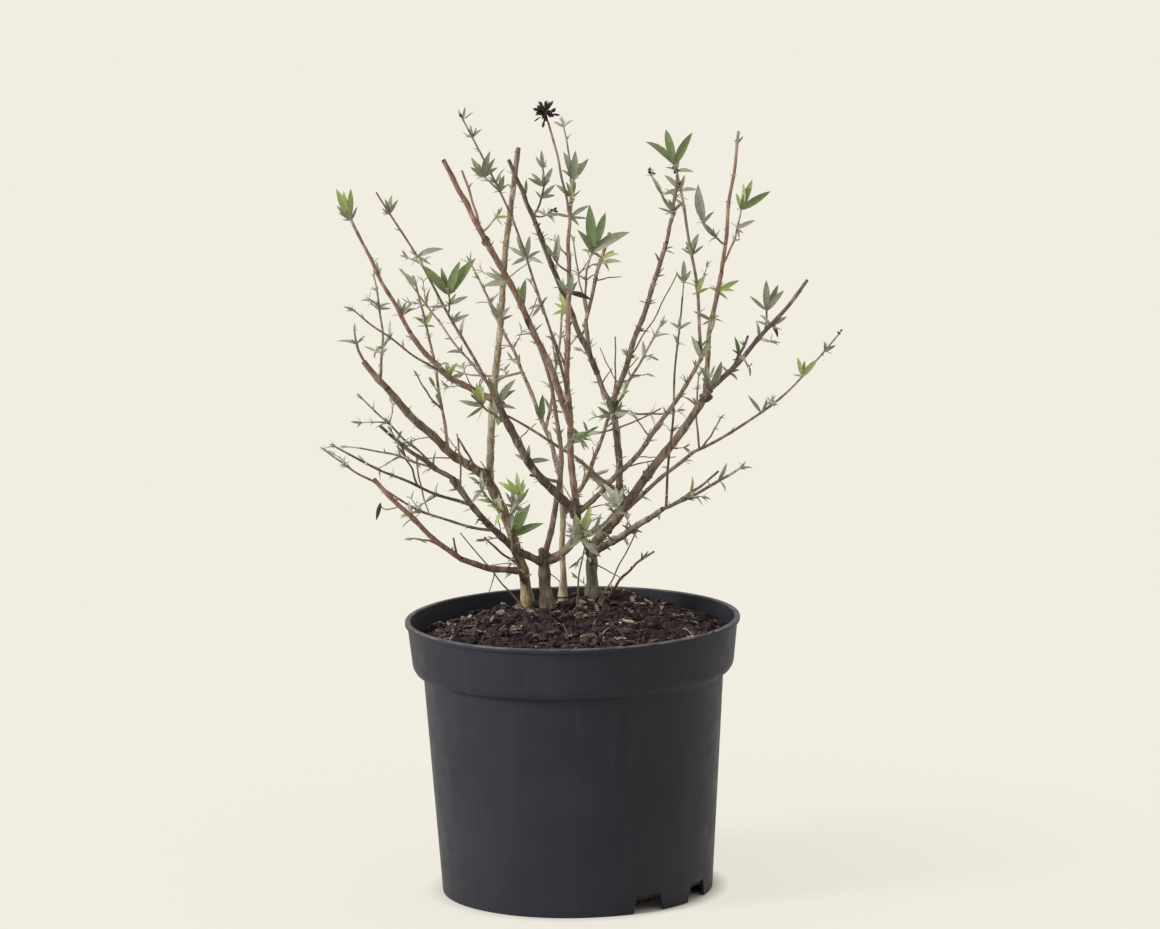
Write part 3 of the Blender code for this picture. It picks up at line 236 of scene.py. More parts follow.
# Shoots: a spray's lead carries the spray's name, and its side shoots add a word after a point. Each row gives
# name, what it grows from and how far along, tip, bow, width at foot and tip, leafy nodes, leaf length at the
# tip. A tip leaf length of 0 is a pruned end.
SHOOTS = (
    ("spray_low_left", "bough_low_left", 1.0, (-163, -42, 351), (1, -5), (4.6, 3.8), 1, 0),
    ("spray_low_left.end", "spray_low_left", 0.96, (-204, -74, 377), (0, -2), (2.0, 1.3), 1, 9),
    ("spray_low_left.twig", "spray_low_left", 0.14, (-135, -60, 300), (0, 3), (2.0, 1.4), 0, 8),
    ("spray_thick_left", "bough_thick_left", 1.0, (-169, -38, 450), (0, -1), (5.4, 4.8), 0, 0),
    ("spray_thick_left.end", "spray_thick_left", 0.9, (-176, -56, 476), (-2, 0), (2.4, 1.6), 1, 10),
    ("spray_thick_left.rise", "spray_thick_left", 0.3, (-159, 6, 522), (4, 0), (2.4, 1.5), 2, 8),
    ("spray_left_inner", "bough_thick_left", 0.38, (-126, 30, 521), (3, 0), (2.8, 1.7), 2, 0),
    ("spray_left_inner.twig", "spray_left_inner", 0.24, (-125, -14, 438), (-1, -2), (1.8, 1.3), 0, 9),
    ("spray_fan_low", "bough_fan", 0.55, (-165, 28, 350), (0, -9), (2.6, 1.6), 1, 0),
    ("spray_fan_middle", "bough_fan", 0.8, (-196, -60, 380), (0, -4), (2.8, 1.6), 2, 10),
    ("spray_fan_middle.twig", "spray_fan_middle", 0.4, (-148, -110, 392), (2, 0), (1.8, 1.3), 1, 12),
    ("spray_fan_high", "bough_fan", 1.0, (-157, -34, 396), (0, -3), (4.2, 2.6), 2, 0),
    ("spray_fan_high.low", "spray_fan_high", 0.12, (-186, 34, 379), (0, 4), (2.0, 1.3), 1, 9),
    ("spray_fan_high.top", "spray_fan_high", 0.15, (-172, -2, 420), (0, -1), (2.2, 1.4), 2, 10),
    ("spray_long_left", "bough_long_left", 1.0, (-178, -92, 572), (-1, 0), (3.6, 2.4), 0, 0),
    ("spray_long_low", "bough_long_left", 0.28, (-177, -140, 494), (-1, -3), (2.2, 1.4), 2, 12),
    ("spray_left_upper", "bough_middle", 0.93, (-155, -112, 591), (2, 2), (2.7, 1.6), 2, 0),
    ("spray_left_upper.arm", "spray_left_upper", 0.12, (-134, 10, 523), (0, -2), (2.0, 1.3), 2, 10),
    ("spray_left_upper.leaf", "spray_left_upper", 0.44, (-99, -92, 510), (2, 0), (1.8, 1.5), 0, 0),
    ("spray_upper_left", "bough_upper_left", 1.0, (-99, -68, 617), (0, 0), (4.7, 4.0), 0, 0),
    ("spray_upper_left.twin", "spray_upper_left", 0.12, (-84, -38, 608), (1, 0), (2.4, 1.8), 0, 0),
    ("spray_upper_left.tuft", "spray_upper_left", 0.08, (-54, -60, 572), (-2, -3), (1.8, 1.4), 0, 0),
    ("spray_dark", "bough_dark", 1.0, (-45, -6, 616), (0, 0), (3.9, 3.2), 0, 0),
    ("spray_dark.leafy", "spray_dark", 0.1, (-18, -26, 612), (5, 0), (2.0, 1.4), 0, 0),
    ("spray_dark.dead", "spray_dark", 0.14, (-12, 22, 572), (0, -3), (1.7, 1.3), 0, 0),
    ("spray_tufted", "bough_leader", 0.5, (-84, -122, 654), (8, 4), (2.6, 1.4), 2, 0),
    ("spray_tufted.big", "spray_tufted", 0.72, (-67, -80, 604), (-2, 2), (1.8, 1.4), 0, 0),
    ("spray_leader", "bough_leader", 1.0, (8, -4, 598), (-2, 0), (3.8, 2.4), 2, 0),
    ("spray_leader.thin", "spray_leader", 0.72, (0, 20, 646), (3, 0), (1.8, 1.3), 0, 0),
    ("spray_leader.head", "spray_leader", 0.62, (-12, -16, 647), (1, 2), (2.2, 1.8), 0, 0),
    ("spray_leader.left", "spray_leader", 0.12, (-14, -40, 541), (0, -3), (1.8, 1.4), 0, 0),
    ("spray_back_upper", "bough_back_upper", 1.0, (37, 112, 554), (-1, 0), (3.3, 2.9), 0, 0),
    ("spray_back_upper.pair", "spray_back_upper", 0.1, (23, 62, 540), (-4, 0), (2.0, 1.6), 1, 0),
    ("spray_back_upper.thin", "spray_back_upper", 0.06, (7, 96, 548), (-1, 0), (1.8, 1.3), 1, 10),
    ("spray_inner_right", "bough_inner_right", 1.0, (94, -58, 600), (1, 0), (3.3, 2.4), 2, 0),
    ("spray_inner_right.thin", "spray_inner_right", 0.5, (72, -84, 602), (0, -3), (1.7, 1.3), 1, 8),
    ("spray_crossing", "bough_crossing", 1.0, (92, 22, 609), (4, 0), (3.0, 2.2), 2, 0),
    ("spray_crossing.low", "spray_crossing", 0.06, (122, -64, 480), (2, -2), (1.9, 1.5), 1, 14),
    ("spray_right_tall", "bough_right_tall", 1.0, (145, 84, 636), (0, 0), (3.5, 2.5), 0, 0),
    ("spray_right_tall.leaf", "spray_right_tall", 0.06, (146, 118, 571), (2, -2), (2.0, 1.5), 0, 0),
    ("spray_right_tall.low", "spray_right_tall", 0.2, (112, 46, 566), (1, -4), (1.8, 1.4), 0, 0),
    ("spray_right_end", "bough_right", 1.0, (200, -16, 511), (2, -2), (4.6, 2.9), 1, 0),
    ("spray_right_end.twig", "spray_right_end", 0.14, (150, -46, 465), (1, -2), (2.8, 2.2), 1, 0),
    ("spray_right_end.tuft", "spray_right_end", 0.55, (164, 4, 503), (2, 0), (1.8, 1.4), 0, 0),
    ("spray_low_right", "bough_low_right", 1.0, (143, -98, 355), (0, -2), (3.2, 2.0), 2, 12),
    ("spray_low_right.high", "spray_low_right", 0.06, (124, -56, 352), (0, -2), (2.4, 1.9), 1, 0),
    ("spray_low_right.rise", "spray_low_right", 0.04, (98, -84, 514), (-1, 0), (2.3, 1.4), 2, 8),
    ("spray_arching", "bough_arching", 1.0, (226, 150, 466), (3, -11), (2.8, 1.4), 1, 0),
    ("spray_arching.mid", "spray_arching", 0.04, (127, 74, 398), (0, -2), (1.8, 1.3), 0, 9),
    ("spray_arching.rise", "spray_arching", 0.03, (109, 84, 434), (-2, 0), (1.9, 1.4), 1, 12),
    ("spray_arching.tuft", "spray_arching", 0.72, (196, 136, 437), (0, 0), (1.6, 1.3), 0, 0),
    ("spray_back_left", "bough_back_left", 1.0, (-78, 196, 530), (3, -4), (3.0, 1.6), 5, 16),
    ("spray_back_left.arm", "spray_back_left", 0.1, (-96, 186, 442), (0, -5), (2.2, 1.4), 3, 14),
    ("spray_back_middle", "bough_back_left", 0.55, (-2, 214, 508), (2, -4), (2.8, 1.6), 5, 16),
    ("spray_back_right", "bough_back_right", 1.0, (78, 206, 476), (-2, -4), (3.0, 1.6), 5, 16),
    ("spray_back_right.arm", "spray_back_right", 0.15, (92, 178, 404), (0, -4), (2.2, 1.4), 3, 12),
    ("spray_back_low", "bough_back_right", 0.5, (30, 204, 342), (0, 4), (2.6, 1.6), 4, 16),
    ("spray_front_left", "bough_front_left", 1.0, (-42, -150, 336), (-1, -2), (3.0, 1.8), 3, 0),
    ("spray_front_left.arm", "spray_front_left", 0.1, (-76, -126, 346), (-2, -3), (2.2, 1.5), 3, 16),
    ("spray_front_right", "bough_front_right", 1.0, (8, -138, 309), (1, -2), (3.0, 1.8), 3, 0),
    ("spray_front_right.arm", "spray_front_right", 0.1, (44, -116, 330), (2, -3), (2.2, 1.5), 2, 0),
    ("spray_front_middle", "bough_leader", 0.3, (16, -96, 388), (0, -4), (2.6, 1.6), 3, 0),
    ("spray_cluster", "bough_middle", 0.86, (-80, -104, 420), (4, -6), (2.6, 1.8), 1, 0),
    ("spray_fork_front", "bough_fork", 0.86, (36, -34, 408), (0, -3), (2.4, 1.7), 1, 0),
    ("spray_middle", "stem_middle", 1.0, (-37, 10, 491), (22, 0), (5.4, 1.8), 1, 0),
)
SEED_HEADS = {"spray_leader.head": (68, 9.5), "spray_dark.dead": (10, 3.0), "spray_inner_right.thin": (10, 3.0)}

# Tufts whose leaves the photo shows one by one: limb, the tuft's root, the leaves' tone, and the tip of each leaf.
# Places are (across, up) in mm as the eye sees them.
TUFTS = (
    ("spray_long_left", (-176, 571), "fresh", ((-188, 595), (-182, 593), (-176, 595), (-175, 584))),
    ("spray_long_left", (-175, 569), "sage", ((-188, 581), (-187, 575), (-184, 569), (-171, 580))),
    ("spray_long_left", (-156, 520), "sage", ((-156, 534), (-152, 529), (-160, 527))),
    ("spray_thick_left.rise", (-150, 495), "silver", ((-158, 497), (-155, 501), (-147, 499), (-145, 494))),
    ("spray_long_left", (-136, 487), "sage", ((-124, 494), (-127, 498), (-139, 503), (-132, 500))),
    ("spray_left_upper", (-143, 573), "sage", ((-148, 586), (-151, 578), (-142, 589), (-137, 585), (-149, 573))),
    ("spray_left_upper", (-116, 539), "silver", ((-128, 544), (-127, 535), (-100, 543), (-118, 529), (-111, 530))),
    ("spray_left_upper.leaf", (-100, 504), "green", ((-118, 530), (-103, 528), (-87, 533), (-74, 535))),
    ("spray_left_upper.leaf", (-98, 496), "silver", ((-91, 506), (-81, 503), (-115, 495))),
    ("spray_left_upper", (-89, 483), "silver", ((-80, 488), (-87, 491), (-101, 481), (-95, 489))),
    ("spray_left_inner", (-126, 510), "sage", ((-135, 524), (-127, 522), (-123, 513))),
    ("spray_left_inner", (-118, 480), "fresh", ((-127, 487), (-124, 479), (-110, 490), (-109, 478))),
    ("spray_tufted", (-80, 652), "silver", ((-80, 661), (-73, 657), (-86, 659))),
    ("spray_tufted", (-75, 634), "sage", ((-83, 640), (-76, 646), (-71, 644), (-66, 642))),
    ("spray_tufted.big", (-66, 602), "sage", ((-77, 611), (-76, 619), (-70, 614), (-65, 618), (-60, 624))),
    ("spray_tufted.big", (-64, 603), "sage", ((-64, 616), (-54, 610), (-56, 618))),
    ("spray_tufted", (-55, 587), "sage", ((-57, 600), (-52, 603), (-49, 604), (-45, 596), (-47, 589))),
    ("spray_upper_left.tuft", (-54, 566), "fresh", ((-51, 577), (-58, 573), (-59, 567), (-46, 569), (-51, 561))),
    ("spray_dark.leafy", (-18, 608), "sage", ((-18, 624), (-23, 619), (-14, 616), (-13, 611))),
    ("spray_dark.leafy", (-19, 594), "sage", ((-30, 601), (-27, 605), (-9, 609), (-11, 599), (-17, 606))),
    ("spray_dark.leafy", (-15, 583), "silver", ((-24, 590), (-7, 595), (-7, 586), (-21, 585))),
    ("spray_dark", (-32, 585), "sage", ((-31, 600), (-35, 596))),
    ("spray_dark.dead", (-14, 567), "silver", ((-26, 574), (-18, 576), (-8, 574), (-2, 570), (-8, 562))),
    ("spray_leader", (5, 598), "sage", ((0, 622), (5, 617), (10, 623), (21, 616), (-2, 607), (14, 604))),
    ("spray_leader", (6, 584), "sage", ((-7, 595), (14, 590), (2, 597), (10, 597))),
    ("spray_leader", (6, 568), "silver", ((21, 577), (20, 566), (-10, 571), (12, 560))),
    ("spray_leader.thin", (1, 643), "silver", ((-8, 647), (9, 648), (-1, 652))),
    ("spray_back_upper.pair", (24, 541), "green", ((21, 578), (34, 571))),
    ("spray_back_upper.pair", (22, 537), "sage", ((10, 557), (54, 554), (13, 540), (31, 531))),
    ("spray_back_upper", (31, 530), "fresh", ((41, 539), (45, 536), (36, 521))),
    ("spray_back_upper", (30, 527), "silver", ((47, 529), (20, 527), (25, 518))),
    ("spray_leader.left", (-6, 536), "green", ((-17, 547), (-7, 550))),
    ("spray_leader.left", (-3, 532), "silver", ((-12, 539), (-5, 554), (-9, 525))),
    ("spray_tufted", (-32, 533), "silver", ((-29, 553), (-20, 540), (-40, 553), (-47, 544), (-18, 529), (-45, 528))),
    ("spray_middle", (-37, 489), "green", ((-33, 517), (-39, 511), (-40, 501))),
    ("bough_upper_left", (-52, 512), "sage", ((-65, 523), (-63, 528), (-68, 511), (-57, 521))),
    ("spray_tufted", (-24, 492), "silver", ((-15, 502), (-32, 491), (-29, 484), (-19, 486))),
    ("bough_leader", (1, 488), "fresh", ((-6, 505), (-12, 486), (-10, 496))),
    ("bough_leader", (4, 500), "sage", ((6, 521), (10, 514), (-8, 517), (-3, 508))),
    ("bough_tall", (-56, 483), "sage", ((-65, 498), (-63, 491), (-57, 498), (-46, 494), (-44, 487))),
    ("spray_crossing", (91, 612), "green", ((68, 629), (85, 639), (107, 636))),
    ("spray_crossing", (94, 603), "sage", ((108, 603), (96, 613), (84, 607))),
    ("spray_crossing", (95, 588), "sage", ((83, 601), (111, 588), (100, 601), (81, 584))),
    ("spray_inner_right", (88, 570), "sage", ((80, 585), (77, 574), (86, 581), (83, 568), (99, 578))),
    ("spray_crossing", (104, 535), "sage", ((100, 546), (106, 547), (111, 552), (115, 542), (96, 540))),
    ("spray_right_tall.low", (127, 569), "silver", ((111, 593), (124, 570))),
    ("spray_right_tall.leaf", (145, 573), "fresh", ((148, 593), (156, 596), (142, 585))),
    ("spray_right_tall.leaf", (147, 573), "green", ((171, 586), (151, 588))),
    ("spray_right_tall.leaf", (139, 556), "silver", ((158, 562), (148, 551), (144, 546))),
    ("spray_right_tall.low", (134, 556), "sage", ((113, 562), (118, 556), (121, 547), (128, 547))),
    ("spray_right_tall", (145, 626), "sage", ((145, 637), (149, 632), (141, 629))),
    ("spray_crossing", (111, 501), "fresh", ((116, 518), (107, 515), (119, 506), (104, 501))),
    ("bough_right_tall", (128, 502), "fresh", ((144, 512), (140, 503), (131, 511), (134, 496), (118, 507))),
    ("spray_low_right.rise", (100, 512), "sage", ((98, 530), (91, 521), (104, 521))),
    ("bough_right_tall", (121, 478), "sage", ((105, 487), (127, 483), (130, 477), (112, 475))),
    ("spray_low_right.rise", (99, 470), "silver", ((85, 478), (94, 483), (104, 478), (90, 471))),
    ("bough_crossing", (112, 456), "sage", ((103, 467), (107, 463), (119, 464))),
    ("bough_right", (122, 425), "sage", ((109, 441), (116, 442), (128, 445), (127, 436))),
    ("spray_right_end", (135, 432), "sage", ((143, 437), (141, 428), (127, 441))),
    ("spray_right_end.tuft", (170, 486), "sage", ((166, 512), (176, 508), (181, 503), (152, 499))),
    ("spray_right_end", (167, 476), "silver", ((157, 478), (160, 483), (183, 481), (179, 470))),
    ("spray_arching.tuft", (194, 427), "fresh", ((191, 447), (197, 444), (208, 445), (187, 432))),
    ("spray_arching", (218, 447), "sage", ((213, 460), (219, 457), (223, 456), (212, 446))),
    ("spray_arching", (160, 402), "sage", ((149, 416), (165, 413), (163, 405))),
    ("spray_cluster", (-76, 408), "fresh", ((-76, 431), (-80, 426), (-70, 428), (-67, 420), (-84, 414))),
    ("spray_cluster", (-78, 405), "sage", ((-91, 416), (-85, 401), (-77, 396))),
    ("bough_middle", (-58, 412), "sage", ((-43, 433), (-43, 424), (-62, 431), (-66, 436), (-43, 408))),
    ("bough_long_left", (-100, 434), "fresh", ((-91, 448), (-101, 447), (-108, 441))),
    ("bough_back_left", (-24, 397), "green", ((-21, 420), (-28, 412), (-19, 406))),
    ("spray_fork_front", (38, 398), "green", ((24, 409), (33, 416), (45, 413))),
    ("spray_fork_front", (39, 394), "silver", ((48, 402), (30, 390), (43, 384))),
    ("spray_front_middle", (16, 387), "green", ((5, 385), (8, 378), (12, 397), (21, 377), (25, 392))),
    ("bough_middle", (-38, 362), "silver", ((-16, 364), (-33, 378), (-46, 370), (-27, 351))),
    ("spray_front_left", (-43, 335), "fresh", ((-60, 347), (-53, 350), (-44, 355), (-38, 349))),
    ("spray_front_left", (-44, 326), "sage", ((-54, 338), (-48, 343), (-33, 331), (-34, 341))),
    ("bough_front_left", (-43, 302), "green", ((-41, 326), (-33, 328), (-22, 311), (-46, 315))),
    ("spray_front_right", (10, 296), "fresh", ((4, 319), (10, 316), (17, 326), (20, 309))),
    ("spray_front_right", (10, 292), "silver", ((-6, 301), (-2, 289), (32, 311), (-4, 312), (25, 281))),
    ("spray_front_right.arm", (33, 329), "silver", ((24, 336), (28, 344), (38, 341), (44, 340), (26, 326))),
    ("stem_left", (-62, 320), "fresh", ((-70, 327), (-55, 327), (-63, 310))),
)

# Small dead flower clusters: limb, the place seen nearest to, pods, and their spread in mm.
DEAD_CLUSTERS = (
    ("spray_crossing", (95, 537), 8, 3.6),
    ("spray_crossing", (90, 603), 9, 4.4),
    ("spray_crossing", (98, 594), 8, 4.0),
    ("spray_tufted", (-86, 656), 3, 1.6),
    ("spray_arching", (226, 465), 4, 1.8),
    ("bough_dark", (-19, 560), 7, 3.4),
    ("spray_back_upper", (24, 514), 4, 2.6),
)
# Dead hanging leaves: limb, root and tip as the eye sees them.
DEAD_LEAVES = (
    ("twig_hook", (-158, 334), (-162, 316)),
    ("bough_leader", (4, 506), (21, 498)),
    ("bough_upper_left", (-40, 486), (-31, 473)),
    ("spray_right_end", (168, 478), (175, 463)),
    ("bough_fan", (-70, 322), (-80, 310)),
)

# Thin bare twigs that only this script has: the same columns, without leaf tufts.
BARE_TWIGS = (
    ("twig_stub", "spray_low_left", 0.05, (-98, -14, 300), (0, 0), (2.0, 1.6)),
    ("twig_near_foot", "stem_left", 0.3, (-72, 20, 300), (-1, -1), (2.2, 1.8)),
    ("twig_hook", "spray_low_left", 0.72, (-158, -48, 331), (-4, -4), (1.1, 0.8)),
    ("twig_level", "stem_left", 0.32, (-68, 18, 276), (0, 1), (0.9, 0.7)),
    ("twig_fork_spike", "bough_fork", 0.98, (40, 40, 467), (1, 0), (1.6, 1.1)),
    ("twig_inner", "bough_inner_right", 0.28, (92, -20, 518), (0, -3), (1.3, 1.0)),
    ("twig_cross_fork", "bough_leader", 0.32, (77, 30, 406), (0, -5), (1.9, 1.3)),
    ("twig_leader_spike", "bough_leader", 0.62, (-12, 4, 470), (0, 0), (1.8, 1.4)),
    ("twig_right_low", "bough_crossing", 0.57, (79, 2, 394), (0, -1), (1.4, 1.1)),
    ("twig_right_high", "bough_crossing", 0.56, (52, -4, 404), (0, 0), (1.4, 1.0)),
    ("twig_fan_spike", "bough_fan", 0.92, (-93, 4, 388), (1, 0), (1.6, 1.2)),
    ("twig_fan_low", "spray_fan_high", 0.5, (-118, -6, 322), (-2, 0), (1.5, 1.2)),
    ("twig_thick_stub", "bough_thick_left", 0.08, (-92, 16, 384), (0, 0), (2.2, 1.9)),
    ("twig_middle_stub", "spray_middle", 0.3, (-33, 8, 352), (0, 0), (2.6, 2.2)),
    ("twig_cross_centre", "bough_right", 0.31, (-54, 30, 404), (0, 5), (3.4, 1.8)),
)
# Thin twigs from the soil: name, foot (x, y), tip (across, deep, up), bow, widths.
FOOT_TWIGS = (
    ("foot_twig_left", (-39, 24), (-92, -4, 304), (2, -3), (1.5, 1.0)),
    ("foot_twig_right", (20, 40), (57, 14, 307), (-2, -6), (1.5, 1.1)),
    ("foot_twig_mid", (4, 30), (13, 14, 296), (-2, 0), (1.6, 1.2)),
)

# The bark of each limb. What isn't named is brown.
BARKS = {
    "stem_left": "bark_flaking",
    "stem_middle": "bark_dark",
    "stem_right": "bark_mossy",
    "stem_back": "bark_pale",
    "bough_tall": "bark_pale",
    "bough_dark": "bark_dark",
    "bough_middle": "bark_dark",
    "bough_fan": "bark_dark",
    "bough_leader": "bark_red",
    "bough_upper_left": "bark_red",
    "bough_long_left": "bark_red",
    "bough_low_left": "bark_red",
    "bough_right_tall": "bark_red",
    "bough_thick_left": "bark_brown",
    "bough_fork": "bark_dark",
}
TWIG_SKINS = ("twig_brown", "twig_red", "twig_dark", "twig_felt", "cut_end")
TWIG_TONES = {
    "spray_low_left": "twig_red",
    "spray_long_left": "twig_red",
    "spray_upper_left": "twig_red",
    "spray_right_tall": "twig_red",
    "spray_dark": "twig_dark",
    "spray_fan_low": "twig_dark",
    "spray_fan_middle": "twig_dark",
    "spray_fan_high": "twig_dark",
    "spray_right_end": "twig_dark",
    "spray_low_right": "twig_dark",
}
LEAF_TONES = ("fresh", "green", "sage", "silver")

# Dark swollen knobs where a limb was cut back and others grew on: limb, share along it, width in mm.
KNOB_STRETCH = 0.6
KNOBS = (
    ("stem_left", 0.98, 12.5),
    ("bough_middle", 0.97, 9.5),
    ("bough_fork", 0.98, 8.6),
    ("bough_right", 0.14, 11.0),
    ("bough_right", 0.96, 9.0),
    ("bough_centre", 0.97, 11.0),
    ("bough_upper_left", 0.99, 7.0),
    ("stem_middle", 0.98, 11.5),
    ("bough_right", 0.46, 9.0),
    ("bough_fan", 0.97, 7.4),
)


def seen(across, deep, up):
    """The point this deep that the eye sees at (across, up) of the upright plane through the axis."""
    scale = (deep - EYE.y) / -EYE.y
    return Vector((EYE.x + (across - EYE.x) * scale, deep, EYE.z + (up - EYE.z) * scale)) * MM


def as_seen(point):
    """Where the eye sees a point against the upright plane: (across, up)."""
    x, y, z = point / MM
    scale = (y - EYE.y) / -EYE.y
    return Vector((EYE.x + (x - EYE.x) / scale, EYE.z + (z - EYE.z) / scale))


class Limb:
    """A tapering limb: a bowed line from its start to its tip, with a little wander of its own."""

    def __init__(self, name, start, tip, bow, widths, continues=False):
        chance = random.Random(name)
        self.name = name
        self.node = name.partition(".")[0]
        self.start = start
        self.tip = tip
        self.bow = Vector((bow[0], 0.0, bow[1])) * MM
        self.widths = [width * MM for width in widths]
        self.continues = continues
        self.length = (tip - start).length
        along = (tip - start).normalized()
        self.side = along.orthogonal().normalized()
        self.lift = along.cross(self.side)
        self.swing = min(MOST_WANDER * MM, WANDER * self.length)
        self.waves = chance.uniform(*WANDER_WAVES)
        self.turn = chance.uniform(0, 2 * math.pi)
        self.flare = 0.0
        self.nodes = []
        self.leafy_tip = False

    def at(self, t):
        wave = 2 * math.pi * self.waves * t + self.turn
        swing = self.swing * math.sin(math.pi * min(max(t, 0.0), 1.0))
        wander = self.side * math.sin(wave) + self.lift * math.cos(LIFT_WAVES * wave)
        return self.start.lerp(self.tip, t) + self.bow * (4 * t * (1 - t)) + wander * swing

    def axis(self, t):
        low, high = max(t - TANGENT_STEP, 0.0), min(t + TANGENT_STEP, 1.0)
        return (self.at(high) - self.at(low)).normalized()

    def radius(self, t):
        width = self.widths[0] + (self.widths[1] - self.widths[0]) * t
        return width / 2 + self.flare * math.exp(-max(t, 0.0) * self.length / (ROOT_FLARE_HEIGHT * MM))


def grow_stem(name, foot, tip, bow, widths):
    start = Vector((foot[0] * MM, foot[1] * MM, SEAT.z * MM + GAP))
    limb = Limb(name, start, seen(*tip), bow, widths)
    limb.flare = ROOT_FLARE * MM * min(1.0, widths[0] / FULL_FLARE_WIDTH)
    return limb


def grow_limb(limbs, name, parent_name, along, tip, bow, widths):
    """A limb that carries on from its parent's tip, or leaves its side from the parent's middle."""
    parent = limbs[parent_name]
    if along < 1:
        return Limb(name, parent.at(along), seen(*tip), bow, widths)
    start = parent.at(1.0) + parent.axis(1.0) * GAP
    return Limb(name, start, seen(*tip), bow, widths, continues=True)


def grow_all_limbs():
    limbs = {}
    for row in STEMS + FOOT_TWIGS:
        limbs[row[0]] = grow_stem(*row)
    for row in BOUGHS + tuple(row[:6] for row in SHOOTS) + BARE_TWIGS:
        limbs[row[0]] = grow_limb(limbs, *row)
    return limbs


class Sheaf:
    """Points and faces gathered for one joined piece, with a skin number for each face."""

    def __init__(self):
        self.points = []
        self.faces = []
        self.skins = []

    def add(self, points, faces, skins):
        first = len(self.points)
        self.points += points
        self.faces += [[first + i for i in face] for face in faces]
        self.skins += skins if isinstance(skins, list) else [skins] * len(faces)

    def piece(self, name, materials, slot, sharp=math.radians(40)):
        mesh = bpy.data.meshes.new(name)
        mesh.from_pydata(self.points, [], self.faces)
        for material in materials:
            mesh.materials.append(material)
        mesh.polygons.foreach_set("material_index", self.skins)
        mesh.shade_smooth()
        mesh.set_sharp_from_angle(angle=sharp)
        return place(bpy.data.objects.new(name, mesh))


def place(piece):
    bpy.context.scene.collection.objects.link(piece)
    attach(piece, "root")
    return piece


def ring_faces(rings, sides):
    """The side faces of a tube whose points stand ring after ring."""
    faces = []
    for r in range(rings - 1):
        for i in range(sides):
            j = (i + 1) % sides
            low, high = r * sides, (r + 1) * sides
            faces.append((low + i, low + j, high + j, high + i))
    return faces


def ridge(limb, t, angle, shape):
    """The bark's relief at one spot, about -1 to 1: long ridges that run up the limb."""
    along = t * limb.length / MM
    spot = Vector((math.cos(angle) * shape, math.sin(angle) * shape, along * 0.045 + limb.turn * 9))
    fine = Vector((math.cos(angle) * 3.1, math.sin(angle) * 3.1, along * 0.16 - limb.turn * 5))
    return noise.noise(spot) + 0.5 * noise.noise(fine)


def swelling(limb, t):
    """How much thicker the limb is here than its plain taper, as a share, for its nodes and its foot."""
    along = t * limb.length
    grown = 0.0
    if not limb.continues and not limb.flare:
        grown = FOOT_SWELLING * math.exp(-along / (limb.widths[0] * 1.1))
    reach = 1.5 * MM + limb.widths[1] * 0.35
    for node in limb.nodes:
        off = (along - node * limb.length) / reach
        if abs(off) < 2.5:
            grown += NODE_SWELLING * math.exp(-off * off)
    return grown


def draw_limb(sheaf, limb, sides, step, relief, skin, end_skin, sink=0.0):
    """A closed tube with ridges, nodes and a cut or pointed end. Its skin may change along it."""
    count = max(4, round(limb.length / (step * MM)))
    begin = -sink * MM / limb.length
    across = None
    points = []
    skins = []
    places = [begin + (1 - begin) * i / count for i in range(count + 1)]
    for t in places:
        axis = limb.axis(t)
        across = axis.orthogonal() if across is None else across - axis * across.dot(axis)
        across.normalize()
        other = axis.cross(across)
        radius = limb.radius(t) * (1 + swelling(limb, t))
        middle = limb.at(t)
        for i in range(sides):
            angle = 2 * math.pi * i / sides
            reach = radius * (1 + relief * ridge(limb, t, angle, 1.3))
            points.append(middle + (across * math.cos(angle) + other * math.sin(angle)) * reach)
    faces = ring_faces(count + 1, sides)
    for t in places[:-1]:
        skins += [skin(t) if callable(skin) else skin] * sides
    last = len(points) - sides
    points += [limb.at(begin), limb.tip + limb.axis(1.0) * limb.radius(1.0) * 0.25]
    for i in range(sides):
        j = (i + 1) % sides
        faces.append((last + sides, j, i))
        faces.append((last + i, last + j, last + sides + 1))
        skins += [skins[0], end_skin]
    sheaf.add(points, faces, skins)


def leaf_at(limb, t, turn, tilt, length, chance):
    """Root, shoulder, tip and broad direction of a leaf that leaves the limb at t."""
    axis = limb.axis(t)
    out = (limb.side * math.cos(turn) + limb.lift * math.sin(turn)).normalized()
    out = (out - axis * out.dot(axis)).normalized()
    aim = axis * math.cos(tilt) + out * math.sin(tilt)
    shift = axis * chance.uniform(-ROOT_SHIFT, ROOT_SHIFT) * MM
    root = limb.at(t) - aim * limb.radius(t) * ROOT_PAST_AXIS + shift
    shoulder = root + aim * length * LEAF_SHOULDER
    droop = out * math.sin(tilt) + DOWN * WEIGHT_IN_DROOP
    tip = root + aim * length + droop * length * LEAF_DROOP
    return root, shoulder, tip, axis.cross(out)


